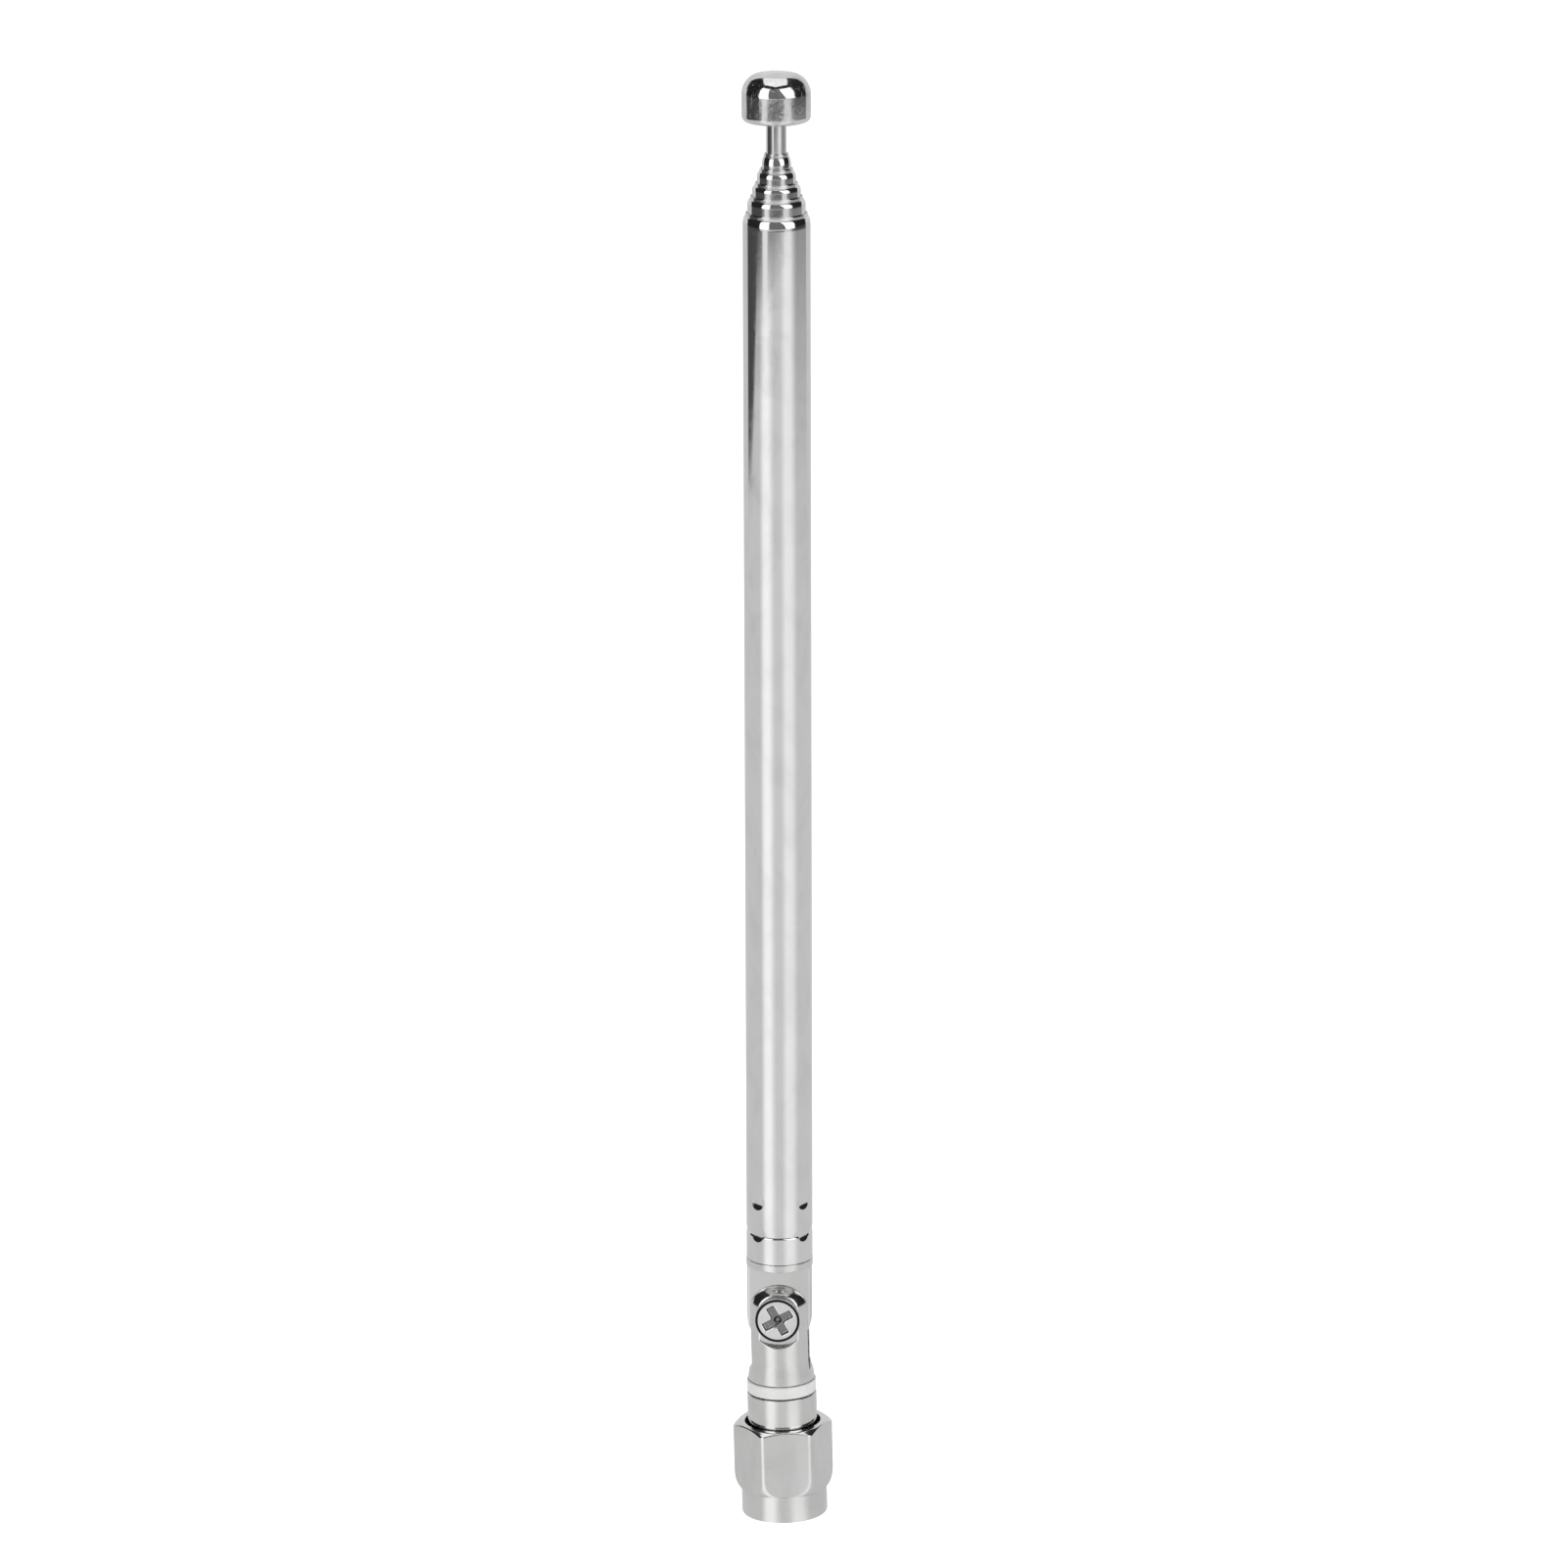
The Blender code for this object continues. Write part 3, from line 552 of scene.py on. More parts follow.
ROD_TENON = 0.7
ROD_END_EDGE = 0.1
KNOB_SHOULDER = 1.89
KNOB_SHOULDER_WIDTH = 1.6
KNOB_CROWN = 0.1
KNOB_EDGE = 0.5
KNOB_HOLE_DEPTH = 2.5
KNOB_HOLE_EDGE = 0.05
KNOB_STEPS = 20                    # of its swept shoulder


def make_tip():
    foot, top, _ = measure("tip_rod", WHIP)
    bush_top = measure("rod_bush", WHIP)[1]
    corners = [
        (0.0, foot, 0.0),
        (ROD_TENON, foot, ROD_END_EDGE),
        (ROD_TENON, bush_top + FIT_GAP, 0.0),
        (ROD_RADIUS, bush_top + FIT_GAP, ROD_END_EDGE),
        (ROD_RADIUS, top, ROD_END_EDGE),
        (0.0, top, 0.0),
    ]
    rod = lathe("tip_rod_bar", rounded(corners, closed=False), WHIP, closed=False)
    stand_for(rod, "tip_rod", CHROME)

    low, high, radius = measure("tip_knob", WHIP)
    hole = ROD_RADIUS + FIT_GAP
    flat = radius - KNOB_SHOULDER_WIDTH
    corners = [
        (0.0, low + KNOB_HOLE_DEPTH + FIT_GAP, 0.0),
        (hole, low + KNOB_HOLE_DEPTH + FIT_GAP, 0.0),
        (hole, low, KNOB_HOLE_EDGE),
        (radius, low, KNOB_EDGE),
    ]
    corners += swept((flat, high - KNOB_SHOULDER),
                     (KNOB_SHOULDER_WIDTH, KNOB_SHOULDER - KNOB_CROWN), 0.0, SWEEP_END, KNOB_STEPS)
    for share in (0.8, 0.6, 0.4, 0.2):
        corners.append((flat * share, high - KNOB_CROWN * share ** 2, 0.0))
    corners += [(0.0, high, 0.0)]
    knob = lathe("tip_knob_cap", rounded(corners, closed=False), WHIP, closed=False)
    stand_for(knob, "tip_knob", KNOB_CHROME)


COLLAR_BOTTOM = 4.59
COLLAR_TOP = 5.31
COLLAR_RADIUS = 3.0
TONGUE_RADIUS = 2.97
TONGUE_HALF = 1.0
TONGUE_END = 3.0
SCREW_HOLE = 1.06
SHANK_RADIUS = 2.77
KNUCKLE_TOP = measure("elbow_knuckle", WHIP)[1]
KNUCKLE_STEP = 0.085               # grid of its mesh


def knuckle_field(x, y, z):
    """Turned shank and collar, with two flats that leave a round-ended tongue."""
    radial = np.hypot(x, y)
    collar = np.maximum(meet(radial - COLLAR_RADIUS, COLLAR_BOTTOM - z, 0.12), z - COLLAR_TOP)
    tongue = meet(radial - TONGUE_RADIUS, np.abs(y) - TONGUE_HALF, 0.08)
    end = np.where(z < 0.0, np.hypot(x, z), np.abs(x)) - TONGUE_END
    tongue = meet(tongue, end, 0.12)
    tongue = np.maximum(tongue, z - COLLAR_TOP)
    tongue = cut(tongue, np.hypot(x, z) - SCREW_HOLE, 0.1)
    shank = meet(radial - SHANK_RADIUS + CRIMP_DEPTH, slab(z, COLLAR_BOTTOM, KNUCKLE_TOP), 0.2)
    return join(join(collar, tongue, 0.16), shank, 0.02)


def make_knuckle():
    low, high, radius = measure("elbow_knuckle", WHIP)
    margin = 0.3
    reach = radius + margin
    item = carve("elbow_knuckle_body", knuckle_field, (-reach, -reach, low - margin),
                 (reach, reach, high + margin), KNUCKLE_STEP, WHIP)
    stand_for(item, "elbow_knuckle", NICKEL)


# ---------------------------------------------------------------- fork

FORK_RADIUS = 2.83
FORK_FOOT = 3.05
FLARE_TOP = 14.6
FLARE_POWER = 1.1
DOME_RISE = 2.25
SLOT_HALF = 1.05
SLOT_FLOOR = 13.8
SEAT_RADIUS = 2.65
SEAT_DEPTH = 2.2
THREAD_HOLE = 0.98
STEM_RADIUS = 1.1
STEM_GROOVE = 0.8
DOME_TOP = PIVOT_HEIGHT + 3.0
FORK_LOW = measure("elbow_fork")[0]
FORK_BOTTOM = measure("insulator_ring")[1] + FIT_GAP
CLIP_LOW, CLIP_HIGH, _ = measure("stem_clip")
FORK_STEP = 0.08                   # grid of its mesh


def fork_field(x, y, z):
    """Domed cylinder with a flared foot, a slot, a screw seat at the front and a turned stem."""
    radial = np.hypot(x, y)
    share = np.clip((FLARE_TOP - z) / (FLARE_TOP - FORK_BOTTOM), 0.0, 1.0)
    wall = radial - FORK_RADIUS - (FORK_FOOT - FORK_RADIUS) * share ** FLARE_POWER
    dome_start = DOME_TOP - DOME_RISE
    above = np.maximum(z - dome_start, 0.0)
    dome = (np.hypot(radial / FORK_RADIUS, above / DOME_RISE) - 1.0) * DOME_RISE
    body = np.where(z > dome_start, dome, wall)
    body = meet(body, FORK_BOTTOM - z, 0.16)
    across = z - PIVOT_HEIGHT
    from_screw = np.hypot(x, across)
    body = cut(body, meet(np.abs(y) - SLOT_HALF, SLOT_FLOOR - z, 0.3), 0.12)
    body = cut(body, np.maximum(from_screw - SEAT_RADIUS, y + SEAT_DEPTH), 0.1)
    body = cut(body, np.maximum(from_screw - SCREW_HOLE, y), 0.08)
    body = cut(body, np.maximum(from_screw - THREAD_HOLE, -y), 0.1)
    stem = meet(radial - STEM_RADIUS, slab(z, FORK_LOW, FORK_BOTTOM + 0.5), 0.12)
    groove = np.maximum(STEM_GROOVE - radial, slab(z, CLIP_LOW - FIT_GAP, CLIP_HIGH + FIT_GAP))
    return join(body, cut(stem, groove, 0.05), 0.06)


def make_fork():
    margin = 0.25
    reach = FORK_FOOT + margin
    item = carve("elbow_fork_body", fork_field, (-reach, -reach, FORK_LOW - margin),
                 (reach, reach, DOME_TOP + margin), FORK_STEP)
    stand_for(item, "elbow_fork", NICKEL)


HEAD_SEAT = 2.48
HEAD_FACE = 2.83
HEAD_RADIUS = 2.08
HEAD_EDGE = 0.13
SCREW_RADIUS = 0.95
SCREW_TIP = -2.4
RECESS_TURN = math.radians(28.0)
RECESS_REACH = 1.47
RECESS_HALF = 0.38
RECESS_DEPTH = 0.28
RECESS_TAPER = 0.5                 # how fast an arm's end slopes in with depth
RECESS_DRAFT = 0.12                # the same for its sides
CORE_RADIUS = 0.66                 # cone at the middle of the recess
CORE_TAPER = 0.9
CORE_DEPTH = 0.6
SCREW_STEP = 0.05                  # grid of the screw's and the washer's meshes


def screw_field(x, y, z):
    """Flat head with a rounded edge and a cross recess, on a plain shank."""
    radial = np.hypot(x, y)
    head = meet(radial - HEAD_RADIUS, slab(z, HEAD_SEAT, HEAD_FACE), HEAD_EDGE)
    shank = meet(radial - SCREW_RADIUS, slab(z, SCREW_TIP, HEAD_SEAT + 0.2), 0.2)
    depth = HEAD_FACE - z
    arms = []
    for turn in (RECESS_TURN, RECESS_TURN + math.radians(90.0)):
        along = np.abs(x * math.cos(turn) + y * math.sin(turn))
        across = np.abs(y * math.cos(turn) - x * math.sin(turn))
        arms.append(meet(along - RECESS_REACH + RECESS_TAPER * depth,
                         across - RECESS_HALF + RECESS_DRAFT * depth, 0.08))
    cross = join(arms[0], arms[1], 0.22)
    core = (radial - CORE_RADIUS + CORE_TAPER * depth) * 0.75
    core = meet(core, depth - CORE_DEPTH, 0.1)
    cross = join(meet(cross, depth - RECESS_DEPTH, 0.12), core, 0.05)
    return join(cut(head, cross, 0.1), cut(shank, cross, 0.05), 0.04)


# Painted shade in the screw's colour: a near-black ring round its head and a greyed cross recess.
SHADE_RIM_INNER = 1.79                  # painted shadow: a near-black ring on the rounded edge of the head
SHADE_RIM_OUTER = 2.02
RIM_SHADOW_COLOR = (0.02, 0.02, 0.02)
RECESS_SHADE_COLOR = (0.26, 0.26, 0.26)


def head_rim_shadow(nodes, radius, height):
    """Mask of the painted shadow round the head: a near-black ring on its rounded edge."""
    edge = nodes.band(radius, (SHADE_RIM_INNER - 0.03, SHADE_RIM_INNER + 0.03),
                      (SHADE_RIM_OUTER - 0.01, SHADE_RIM_OUTER + 0.02))
    return nodes.both(edge, nodes.ramp(height, HEAD_SEAT, HEAD_SEAT + 0.05))


def recess(nodes, radius, height):
    """Mask of the painted shade in the recess, from just under the face to below its core."""
    inside = nodes.band(height, (HEAD_FACE - 0.9, HEAD_FACE - 0.8),
                        (HEAD_FACE - 0.12, HEAD_FACE - 0.04))
    return nodes.both(inside, nodes.ramp(radius, SHADE_RIM_INNER - 0.2, SHADE_RIM_INNER, 1.0, 0.0))


# Painted shade on the screw: its recess greyed and the rim of its head darkened to near black.
paint_shade(SCREW_STEEL, recess, RECESS_SHADE_COLOR)
paint_shade(SCREW_STEEL, head_rim_shadow, RIM_SHADOW_COLOR)


WASHER_INNER = 1.05
WASHER_RADIUS = 2.0
WASHER_MIDDLE = 2.34
WASHER_HALF = 0.10
WASHER_RISE = 0.04                 # half the step between its two ends
WASHER_SPLIT = math.radians(-82.0)
WASHER_GAP = 0.22


def washer_field(x, y, z):
    """Split spring washer: a flat ring with a slanting cut and one end lifted."""
    radial = np.hypot(x, y)
    turn = (np.arctan2(y, x) - WASHER_SPLIT) % (2.0 * math.pi)
    middle = WASHER_MIDDLE + WASHER_RISE * (turn / math.pi - 1.0)
    ring = meet(slab(radial, WASHER_INNER, WASHER_RADIUS), np.abs(z - middle) - WASHER_HALF, 0.06)
    from_cut = np.minimum(turn, 2.0 * math.pi - turn) * radial
    return cut(ring, from_cut - 0.5 * WASHER_GAP, 0.04)


def make_screw():
    margin = 0.2
    reach = HEAD_RADIUS + margin
    screw = carve("pivot_screw_body", screw_field, (-reach, -reach, SCREW_TIP - margin),
                  (reach, reach, HEAD_FACE + margin), SCREW_STEP, SCREW)
    stand_for(screw, "pivot_screw", SCREW_STEEL)
    reach = WASHER_RADIUS + margin
    washer = carve("lock_washer_ring", washer_field, (-reach, -reach, HEAD_SEAT - 3.0 * margin),
                   (reach, reach, HEAD_SEAT + margin), SCREW_STEP, SCREW)
    stand_for(washer, "lock_washer", SPRING_STEEL)


# ---------------------------------------------------------------- plug

NUT_HALF_FLATS = 4.0
NUT_CORNER_RADIUS = 4.56
NUT_EDGE = 0.30
NUT_CROWN = 3.95
NUT_SKIRT = 3.9
NUT_SKIRT_TOP = 2.5
NUT_ROUND = 1.9                    # height of the rounded foot of the hexagon
NUT_MINOR = 2.8
NUT_THREAD_TOP = 5.0
NUT_BORE = 3.44
NUT_GROOVE_RADIUS = 3.65
NUT_GROOVE = (5.85, 6.65)
NUT_MOUTH = 3.2
THREAD_PITCH = 25.4 / 36.0
THREAD_DEPTH = 0.38
MOUNTS = {mount["name"]: mount for mount in frame["record"]["mounts"]}
SPANNER_FLAT = MOUNTS["spanner_flat"]["axis"]
NUT_TURN = math.atan2(SPANNER_FLAT[1], SPANNER_FLAT[0])
NUT_TOP = measure("coupling_nut")[1]
NUT_STEP = 0.09                    # grid of its mesh


def nut_field(x, y, z):
    """Hexagon with a chamfered top and a rounded foot on a round skirt, bored and threaded."""
    radial = np.hypot(x, y)
    faces = []
    for k in range(3):
        turn = NUT_TURN + math.radians(60.0 * k)
        faces.append(np.abs(x * math.cos(turn) + y * math.sin(turn)) - NUT_HALF_FLATS)
    hexagon = meet(meet(faces[0], faces[1], NUT_EDGE), faces[2], NUT_EDGE)
    share = np.clip((NUT_SKIRT_TOP + NUT_ROUND - z) / NUT_ROUND, 0.0, 1.0)
    bulge = np.sqrt(np.maximum(1.0 - share ** 2, 0.0))
    foot = radial - NUT_SKIRT - (NUT_CORNER_RADIUS - NUT_SKIRT) * bulge
    hexagon = meet(hexagon, np.maximum(foot * 0.7, NUT_SKIRT_TOP - z), 0.08)
    crown = 0.5 * (radial - NUT_CROWN) + math.sqrt(0.75) * (z - NUT_TOP)
    hexagon = meet(hexagon, crown, 0.1)
    skirt = meet(radial - NUT_SKIRT, -z, 0.22)
    skirt = np.maximum(skirt, z - NUT_SKIRT_TOP - 1.0)
    body = meet(join(hexagon, skirt, 0.08), z - NUT_TOP, 0.08)

    phase = (z / THREAD_PITCH - np.arctan2(y, x) / (2.0 * math.pi)) % 1.0
    flank = np.clip(1.5 - np.abs(phase - 0.5) * 4.0, 0.0, 1.0)
    runout = np.clip((NUT_THREAD_TOP - z) / THREAD_PITCH, 0.0, 1.0)
    thread = radial - NUT_MINOR - THREAD_DEPTH * flank * runout
    bore = join(thread, np.maximum(radial - NUT_BORE, NUT_THREAD_TOP - z), 0.05)
    bore = join(bore, np.maximum(radial - NUT_GROOVE_RADIUS, slab(z, *NUT_GROOVE)), 0.05)
    bore = join(bore, (radial - NUT_MOUTH + z) * 0.7, 0.05)
    return cut(body, bore, 0.09)


def make_nut():
    margin = 0.25
    reach = NUT_CORNER_RADIUS + margin
    nut = carve("coupling_nut_body", nut_field, (-reach, -reach, -margin),
                (reach, reach, NUT_TOP + margin), NUT_STEP)
    stand_for(nut, "coupling_nut", NICKEL)


FERRULE_RADIUS = 2.275
DIELECTRIC_RADIUS = 2.02
BUSH_RADIUS = 2.2
BUSH_BORE = 1.2
BUSH_SHOULDER = 9.65
CLIP_SPACE = 1.75
RING_GROOVE_RADIUS = 2.8
RING_GROOVE = (5.95, 6.45)
FLANGE_BOTTOM = 5.2
BUSH_SEAT = 8.4
NECK_GAP = 0.1                     # shadow line left under the white ring


def make_plug_body():
    low, high, radius = measure("connector_body")
    bore = DIELECTRIC_RADIUS + FIT_GAP
    corners = [
        (bore, low, 0.05),
        (FERRULE_RADIUS, low, 0.08),
        (FERRULE_RADIUS, FLANGE_BOTTOM, 0.0),
        (radius, FLANGE_BOTTOM, 0.1),
        (radius, RING_GROOVE[0], 0.0),
        (RING_GROOVE_RADIUS, RING_GROOVE[0], 0.0),
        (RING_GROOVE_RADIUS, RING_GROOVE[1], 0.0),
        (radius, RING_GROOVE[1], 0.0),
        (radius, high - NECK_GAP, 0.05),
        (BUSH_RADIUS + FIT_GAP, high - NECK_GAP, 0.0),
        (BUSH_RADIUS + FIT_GAP, BUSH_SEAT, 0.0),
        (bore, BUSH_SEAT, 0.0),
    ]
    stand_for(lathe("connector_body_shell", rounded(corners)), "connector_body", NICKEL)

    low, high, radius = measure("insulator_ring")
    flange = measure("connector_body")[1] + FIT_GAP
    corners = [
        (CLIP_SPACE, low, 0.0),
        (BUSH_RADIUS, low, 0.08),
        (BUSH_RADIUS, flange, 0.0),
        (radius, flange, 0.1),
        (radius, high, 0.1),
        (BUSH_BORE, high, 0.05),
        (BUSH_BORE, BUSH_SHOULDER, 0.0),
        (CLIP_SPACE, BUSH_SHOULDER, 0.0),
    ]
    stand_for(lathe("insulator_ring_bush", rounded(corners)), "insulator_ring", WHITE_PLASTIC)


PIN_RADIUS = 0.455
PIN_HEAD_HEIGHT = 0.6
PIN_TAPER = 0.5
GASKET_INNER = FERRULE_RADIUS + FIT_GAP
GASKET_EDGE = 0.2


def make_contacts():
    low, high, radius = measure("centre_pin")
    head = high - PIN_HEAD_HEIGHT
    corners = [
        (0.0, low, 0.0),
        (0.5 * PIN_RADIUS, low, 0.1),
        (PIN_RADIUS, low + PIN_TAPER, 0.3),
        (PIN_RADIUS, head, 0.0),
        (radius, head, 0.05),
        (radius, high, 0.05),
        (0.0, high, 0.0),
    ]
    pin = lathe("centre_pin_contact", rounded(corners, closed=False), closed=False)
    stand_for(pin, "centre_pin", GOLD)

    low, high, radius = measure("dielectric")
    hole = PIN_RADIUS + FIT_GAP
    recess = measure("centre_pin")[2] + FIT_GAP
    corners = [
        (hole, low, 0.05),
        (radius, low, 0.06),
        (radius, high, 0.0),
        (recess, high, 0.0),
        (recess, head - FIT_GAP, 0.0),
        (hole, head - FIT_GAP, 0.0),
    ]
    stand_for(lathe("dielectric_core", rounded(corners)), "dielectric", FLUOROPOLYMER)

    low, high, radius = measure("gasket")
    corners = [
        (GASKET_INNER, low, GASKET_EDGE),
        (radius, low, GASKET_EDGE),
        (radius, high, GASKET_EDGE),
        (GASKET_INNER, high, GASKET_EDGE),
    ]
    stand_for(lathe("gasket_ring", rounded(corners)), "gasket", RUBBER)


# ---------------------------------------------------------------- pieces that stay as packed

KEPT = {
    "retaining_ring": SPRING_STEEL,
    "stem_clip": SPRING_STEEL,
    "contact_spring": BRONZE,
    "rod_bush": BRONZE,
    "rod_sleeve": BRONZE,
    "section_2_sleeve": BRONZE,
    "section_3_sleeve": BRONZE,
    "section_4_sleeve": BRONZE,
    "section_5_sleeve": BRONZE,
}


def finish_kept_nodes():
    for node, material in KEPT.items():
        NODES[node].material_slots[0].material = material


# ---------------------------------------------------------------- studio

CAMERA_TURN = math.radians(4.7)    # of the camera about Z, from the front towards +X
CAMERA_DISTANCE = 0.7363           # from the Z axis, on the level
CAMERA_HEIGHT = 0.2689
CAMERA_DIP = math.radians(15.2)
CAMERA_ROLL = math.radians(1.45)
CAMERA_LENS = 195.63
CAMERA_SIDESTEP = 0.0016           # of the picture's centre from the Z axis, to the right


def make_camera():
    data = bpy.data.cameras.new("camera")
    data.lens = CAMERA_LENS
    data.sensor_width = 36.0
    data.clip_start = 0.01
    data.clip_end = 20.0
    camera = bpy.data.objects.new("camera", data)
    right = Vector((math.cos(CAMERA_TURN), math.sin(CAMERA_TURN), 0.0))
    away = Vector((-math.sin(CAMERA_TURN), math.cos(CAMERA_TURN), 0.0))
    place = right * CAMERA_SIDESTEP - away * CAMERA_DISTANCE
    camera.location = (place.x, place.y, CAMERA_HEIGHT)
    aim = away * math.cos(CAMERA_DIP) - Vector((0.0, 0.0, math.sin(CAMERA_DIP)))
    camera.rotation_mode = "QUATERNION"
    level = aim.to_track_quat("-Z", "Y")
    camera.rotation_quaternion = Matrix.Rotation(CAMERA_ROLL, 3, aim).to_quaternion() @ level
    bpy.context.scene.collection.objects.link(camera)
    bpy.context.scene.camera = camera


FLOOR_GLOW = 0.82
LIGHT_PLACE = (0.1, -0.3, 0.9)
LIGHT_SIZE = 0.9
LIGHT_POWER = 3.0


def make_floor():
    """White floor, seen and lit from above but not mirrored in the metal."""
    size = 6.0
    mesh = bpy.data.meshes.new("floor")
    corners = [(-size, -size, 0.0), (size, -size, 0.0), (size, size, 0.0), (-size, size, 0.0)]
    mesh.from_pydata(corners, [], [(0, 1, 2, 3)])
    floor = bpy.data.objects.new("floor", mesh)
    floor.location.z = -0.0001
    floor.visible_glossy = False
    material, nodes, shader = new_material("pale_floor")
    nodes.feed(shader, Base_Color=(0.9, 0.9, 0.9, 1.0), Roughness=1.0, Specular_IOR_Level=0.0,
               Emission_Color=(1.0, 1.0, 1.0, 1.0), Emission_Strength=FLOOR_GLOW)
    mesh.materials.append(material)
    bpy.context.scene.collection.objects.link(floor)


def make_light(name, location, size, power):
    data = bpy.data.lights.new(name, "AREA")
    data.size = size
    data.energy = power
    light = bpy.data.objects.new(name, data)
    light.location = location
    light.rotation_mode = "QUATERNION"
    light.rotation_quaternion = (-Vector(location)).to_track_quat("-Z", "Y")
    light.visible_glossy = False
    bpy.context.scene.collection.objects.link(light)


DEGREES = 180.0 / math.pi


def level_angles(nodes, x, y):
    """Azimuth from the camera's side towards the right, in degrees, and its size."""
    azimuth = nodes.both(nodes.math("ARCTAN2", x, nodes.both(y, -1.0)), DEGREES)
    return azimuth, nodes.math("ABSOLUTE", azimuth)


def studio_axes(nodes, vector):
    """Components of a vector to the camera's right, away from it and up."""
    turned = nodes.add("ShaderNodeMapping", vector_type="POINT")
    nodes.feed(turned, Vector=vector, Rotation=(0.0, 0.0, -CAMERA_TURN))
    split = nodes.feed(nodes.add("ShaderNodeSeparateXYZ"), Vector=turned.outputs["Vector"])
    return split.outputs[:3]


TABLE_LIGHT = 0.645                # radiances that the metal mirrors
TABLE_GLOW = 0.05                  # added in front
STREAK_LEFT = 0.41
STREAK_RIGHT = 0.285
DARK = 0.02
SOFT_BOX = 1.6
OVERHEAD = 1.15
BEHIND_CAMERA = 0.17
BACKDROP = 0.74
AMBIENT = 0.22                     # light on matte pieces

TABLE_SIDES = 96
TABLE_RADIUS = 0.9
TABLE_RIM = 0.06                   # height of its upturned rim
MIRROR_RADIUS = 0.0035             # typical radius of the metal that mirrors it

# Where soft edges on the table start and end, in degrees of azimuth. A streak has two of them.
LEFT_STREAK = ((-67.0, -45.0), (-36.0, -7.0))
RIGHT_STREAK = ((6.0, 31.0), (45.0, 74.0))
STREAK_POWER = 4.0                 # keeps only the middle of a streak far off
STREAK_REACH = 0.8
GLOW_EDGE = (30.0, 60.0)
FRONT_EDGE = (40.0, 75.0)
BACK_EDGE = (112.0, 121.0)         # behind the whip the table does not fade

# Where the table fades with distance, in metres, and the share of its light that is left.
FRONT_FADE = ((0.60, 0.70), 0.2)
SIDE_FADE = ((0.33, 0.80), 0.1)
TABLE_EDGE = ((0.46, 0.51), 0.09)  # measured along TABLE_EDGE_AXIS, to the left and back
TABLE_EDGE_AXIS = (-0.906, 0.423)
RIM_GLOW = ((0.84, 0.88), 0.7)     # here the light comes back, at the rim in front
LEAST_FADE = 0.11


def make_table():
    """The table as the metal mirrors it: pale, a streak below each soft box, dark far off."""
    mesh = bpy.data.meshes.new("mirrored_table")
    turns = [2.0 * math.pi * k / TABLE_SIDES for k in range(TABLE_SIDES)]
    rim = [(TABLE_RADIUS * math.cos(turn), TABLE_RADIUS * math.sin(turn), 0.0) for turn in turns]
    upper = [(place[0], place[1], TABLE_RIM) for place in rim]
    walls = []
    for k in range(TABLE_SIDES):
        following = (k + 1) % TABLE_SIDES
        walls.append((k, following, TABLE_SIDES + following, TABLE_SIDES + k))
    mesh.from_pydata(rim + upper, [], [tuple(range(TABLE_SIDES))] + walls)
    table = bpy.data.objects.new("mirrored_table", mesh)
    table.location.z = -0.0002
    table.visible_camera = False
    table.visible_diffuse = False
    table.visible_shadow = False
    material, nodes, shader = new_material("mirrored_table")
    coordinates = nodes.add("ShaderNodeTexCoord")
    x, y, _ = studio_axes(nodes, coordinates.outputs["Object"])
    far = nodes.length(x, y)
    # A mirrored ray leaves from the metal's side, not from its axis, which matters close by.
    spread = nodes.less(1.0, nodes.math("DIVIDE", 0.5 * MIRROR_RADIUS, far))
    azimuth, aside = [nodes.math("DIVIDE", angle, spread) for angle in level_angles(nodes, x, y)]

    left = nodes.band(azimuth, *LEFT_STREAK)
    right = nodes.band(azimuth, *RIGHT_STREAK)
    light = nodes.sum(nodes.both(left, STREAK_LEFT), nodes.both(right, STREAK_RIGHT))
    light = nodes.sum(light, nodes.ramp(aside, *GLOW_EDGE, TABLE_LIGHT + TABLE_GLOW, TABLE_LIGHT))

    def fading(value, edge):
        """1 before a soft edge, and what it leaves after it."""
        (start, end), left_over = edge
        return nodes.ramp(value, start, end, 1.0, left_over)

    front = nodes.ramp(azimuth, *FRONT_EDGE, 1.0, 0.0)
    (rim_start, rim_end), rim_light = RIM_GLOW
    ahead = nodes.either(fading(far, FRONT_FADE),
                         nodes.ramp(far, rim_start, rim_end, 0.0, rim_light))
    fade = nodes.sum(nodes.both(front, ahead),
                     nodes.both(nodes.less(1.0, front), fading(far, SIDE_FADE)))
    edge = nodes.sum(nodes.both(x, TABLE_EDGE_AXIS[0]), nodes.both(y, TABLE_EDGE_AXIS[1]))
    fade = nodes.both(fade, fading(edge, TABLE_EDGE))
    streak = nodes.math("POWER", nodes.either(left, right), STREAK_POWER)
    fade = nodes.either(nodes.either(fade, LEAST_FADE), nodes.both(streak, STREAK_REACH))
    fade = nodes.either(fade, nodes.ramp(aside, *BACK_EDGE))
    nodes.feed(shader, Base_Color=(0.0, 0.0, 0.0, 1.0), Specular_IOR_Level=0.0, Roughness=1.0,
               Emission_Color=nodes.both(light, fade), Emission_Strength=1.0)
    mesh.materials.append(material)
    bpy.context.scene.collection.objects.link(table)


# Soft edges in the studio's sky: degrees of azimuth, or of elevation where the name ends in
# BOTTOM or TOP. Slopes are of lines across the unit sphere, SOFT the half width of their edges.
LEFT_BOX = ((-62.0, -57.0), (-28.0, -24.0))
RIGHT_BOX = ((28.0, 33.0), (61.0, 67.0))
RIGHT_BOX_SLANT = 0.36             # its inner side leans in as it rises
BOX_BOTTOM = (-10.0, -6.0)
BOX_TOP = (44.0, 48.0)
CAMERA_SIDE = (22.0, 34.0)
CAMERA_SIDE_TOP = (44.0, 50.0)
BACKDROP_SIDE = 0.54
BACKDROP_RISE = 1.135
BACKDROP_DROP = 0.49               # of its upper edge towards the sides
OVERHEAD_WIDTH = 0.47
OVERHEAD_TAPER = 0.24
OVERHEAD_REACH = 0.60
OVERHEAD_DROP = 0.75
SOFT = 0.03
OVERHEAD_SOFT = 0.02


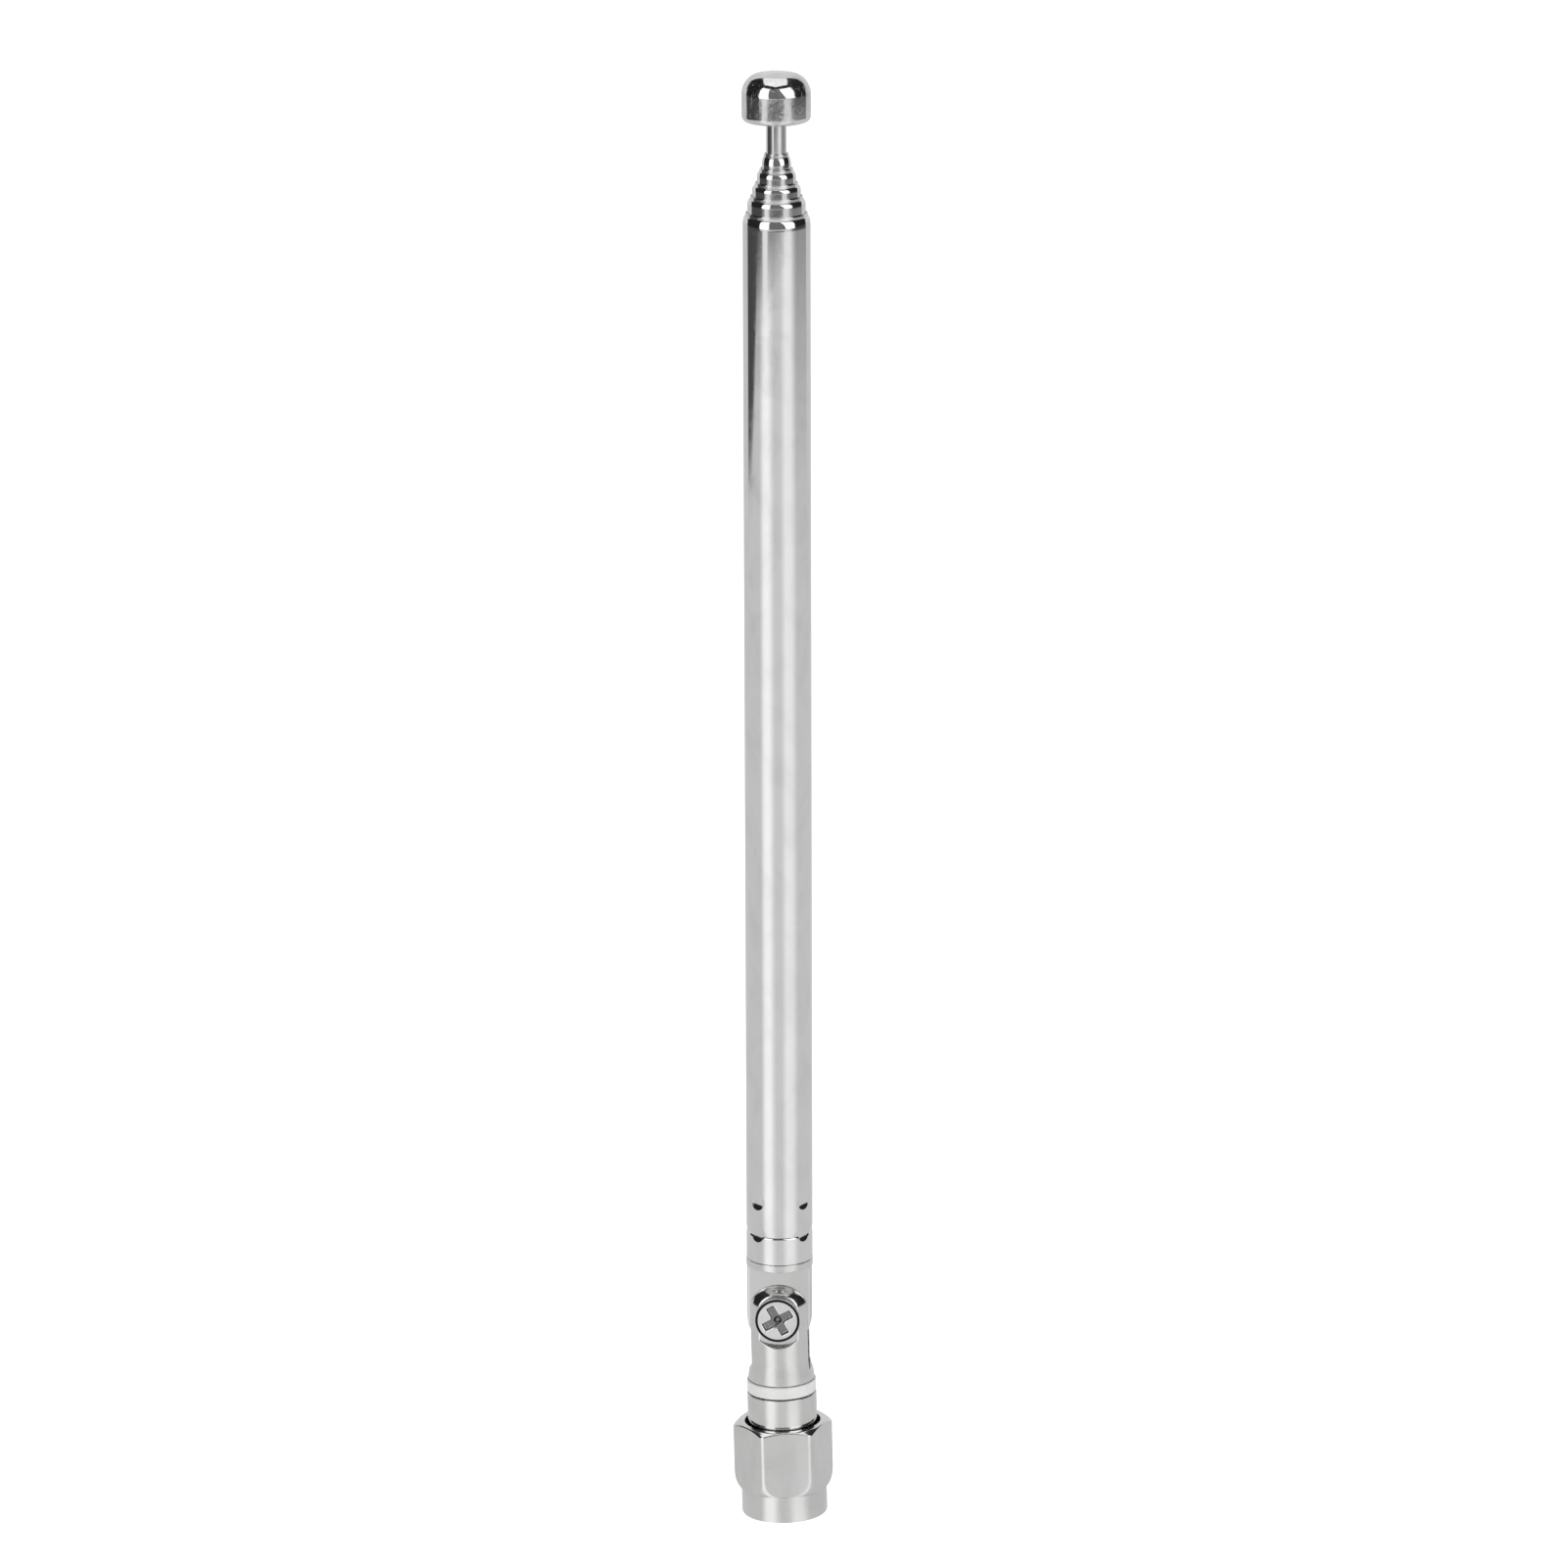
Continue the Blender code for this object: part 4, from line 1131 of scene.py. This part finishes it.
def make_world():
    """Studio above the table: two soft boxes, a light overhead, a pale backdrop and a dark room."""
    world = bpy.data.worlds.new("studio")
    world.use_nodes = True
    bpy.context.scene.world = world
    nodes = Nodes(world.node_tree)
    background = world.node_tree.nodes["Background"]
    coordinates = nodes.add("ShaderNodeTexCoord")
    x, y, z = studio_axes(nodes, coordinates.outputs["Generated"])
    azimuth, aside = level_angles(nodes, x, y)
    elevation = nodes.both(nodes.math("ARCSINE", z), DEGREES)
    sideways = nodes.math("ABSOLUTE", x)

    left = nodes.band(azimuth, *LEFT_BOX)
    inner = nodes.sum(azimuth, nodes.both(elevation, RIGHT_BOX_SLANT))
    right = nodes.both(nodes.ramp(inner, *RIGHT_BOX[0]),
                       nodes.ramp(azimuth, *RIGHT_BOX[1], 1.0, 0.0))
    boxes = nodes.both(nodes.either(left, right), nodes.band(elevation, BOX_BOTTOM, BOX_TOP))

    behind_camera = nodes.both(nodes.ramp(aside, *CAMERA_SIDE, 1.0, 0.0),
                               nodes.ramp(elevation, *CAMERA_SIDE_TOP, 1.0, 0.0))
    beside = nodes.less(y, nodes.both(sideways, BACKDROP_SIDE))
    upper_edge = nodes.less(nodes.both(y, BACKDROP_RISE), nodes.both(sideways, BACKDROP_DROP))
    below = nodes.less(upper_edge, z)
    backdrop = nodes.both(nodes.ramp(beside, -SOFT, SOFT), nodes.ramp(below, -SOFT, SOFT))
    narrow = nodes.less(nodes.both(z, OVERHEAD_WIDTH),
                        nodes.sum(sideways, nodes.both(y, OVERHEAD_TAPER)))
    near = nodes.sum(y, nodes.less(nodes.both(z, OVERHEAD_REACH),
                                   nodes.both(sideways, OVERHEAD_DROP)))
    over = nodes.both(nodes.ramp(narrow, -OVERHEAD_SOFT, OVERHEAD_SOFT),
                      nodes.ramp(near, -SOFT, SOFT))

    total = nodes.both(boxes, SOFT_BOX)
    for shape, light in ((behind_camera, BEHIND_CAMERA), (over, OVERHEAD), (1.0, DARK)):
        total = nodes.either(total, nodes.both(shape, light))
    total = nodes.sum(nodes.both(total, nodes.less(1.0, backdrop)), nodes.both(backdrop, BACKDROP))

    # The camera sees white, matte pieces get even light, and only mirrored rays see the studio.
    ray = nodes.add("ShaderNodeLightPath")
    matte = nodes.either(ray.outputs["Is Diffuse Ray"], ray.outputs["Is Camera Ray"])
    total = nodes.both(total, nodes.less(1.0, matte))
    total = nodes.either(total, nodes.both(ray.outputs["Is Diffuse Ray"], AMBIENT))
    total = nodes.either(total, ray.outputs["Is Camera Ray"])
    nodes.tree.links.new(total, background.inputs["Color"])


def make_studio():
    make_camera()
    make_floor()
    make_table()
    make_world()
    make_light("overhead_soft_light", LIGHT_PLACE, LIGHT_SIZE, LIGHT_POWER)
    bpy.context.scene.view_settings.view_transform = "Standard"


make_outer_tube()
make_sliding_sections()
make_tip()
make_knuckle()
make_fork()
make_screw()
make_nut()
make_plug_body()
make_contacts()
finish_kept_nodes()
make_studio()
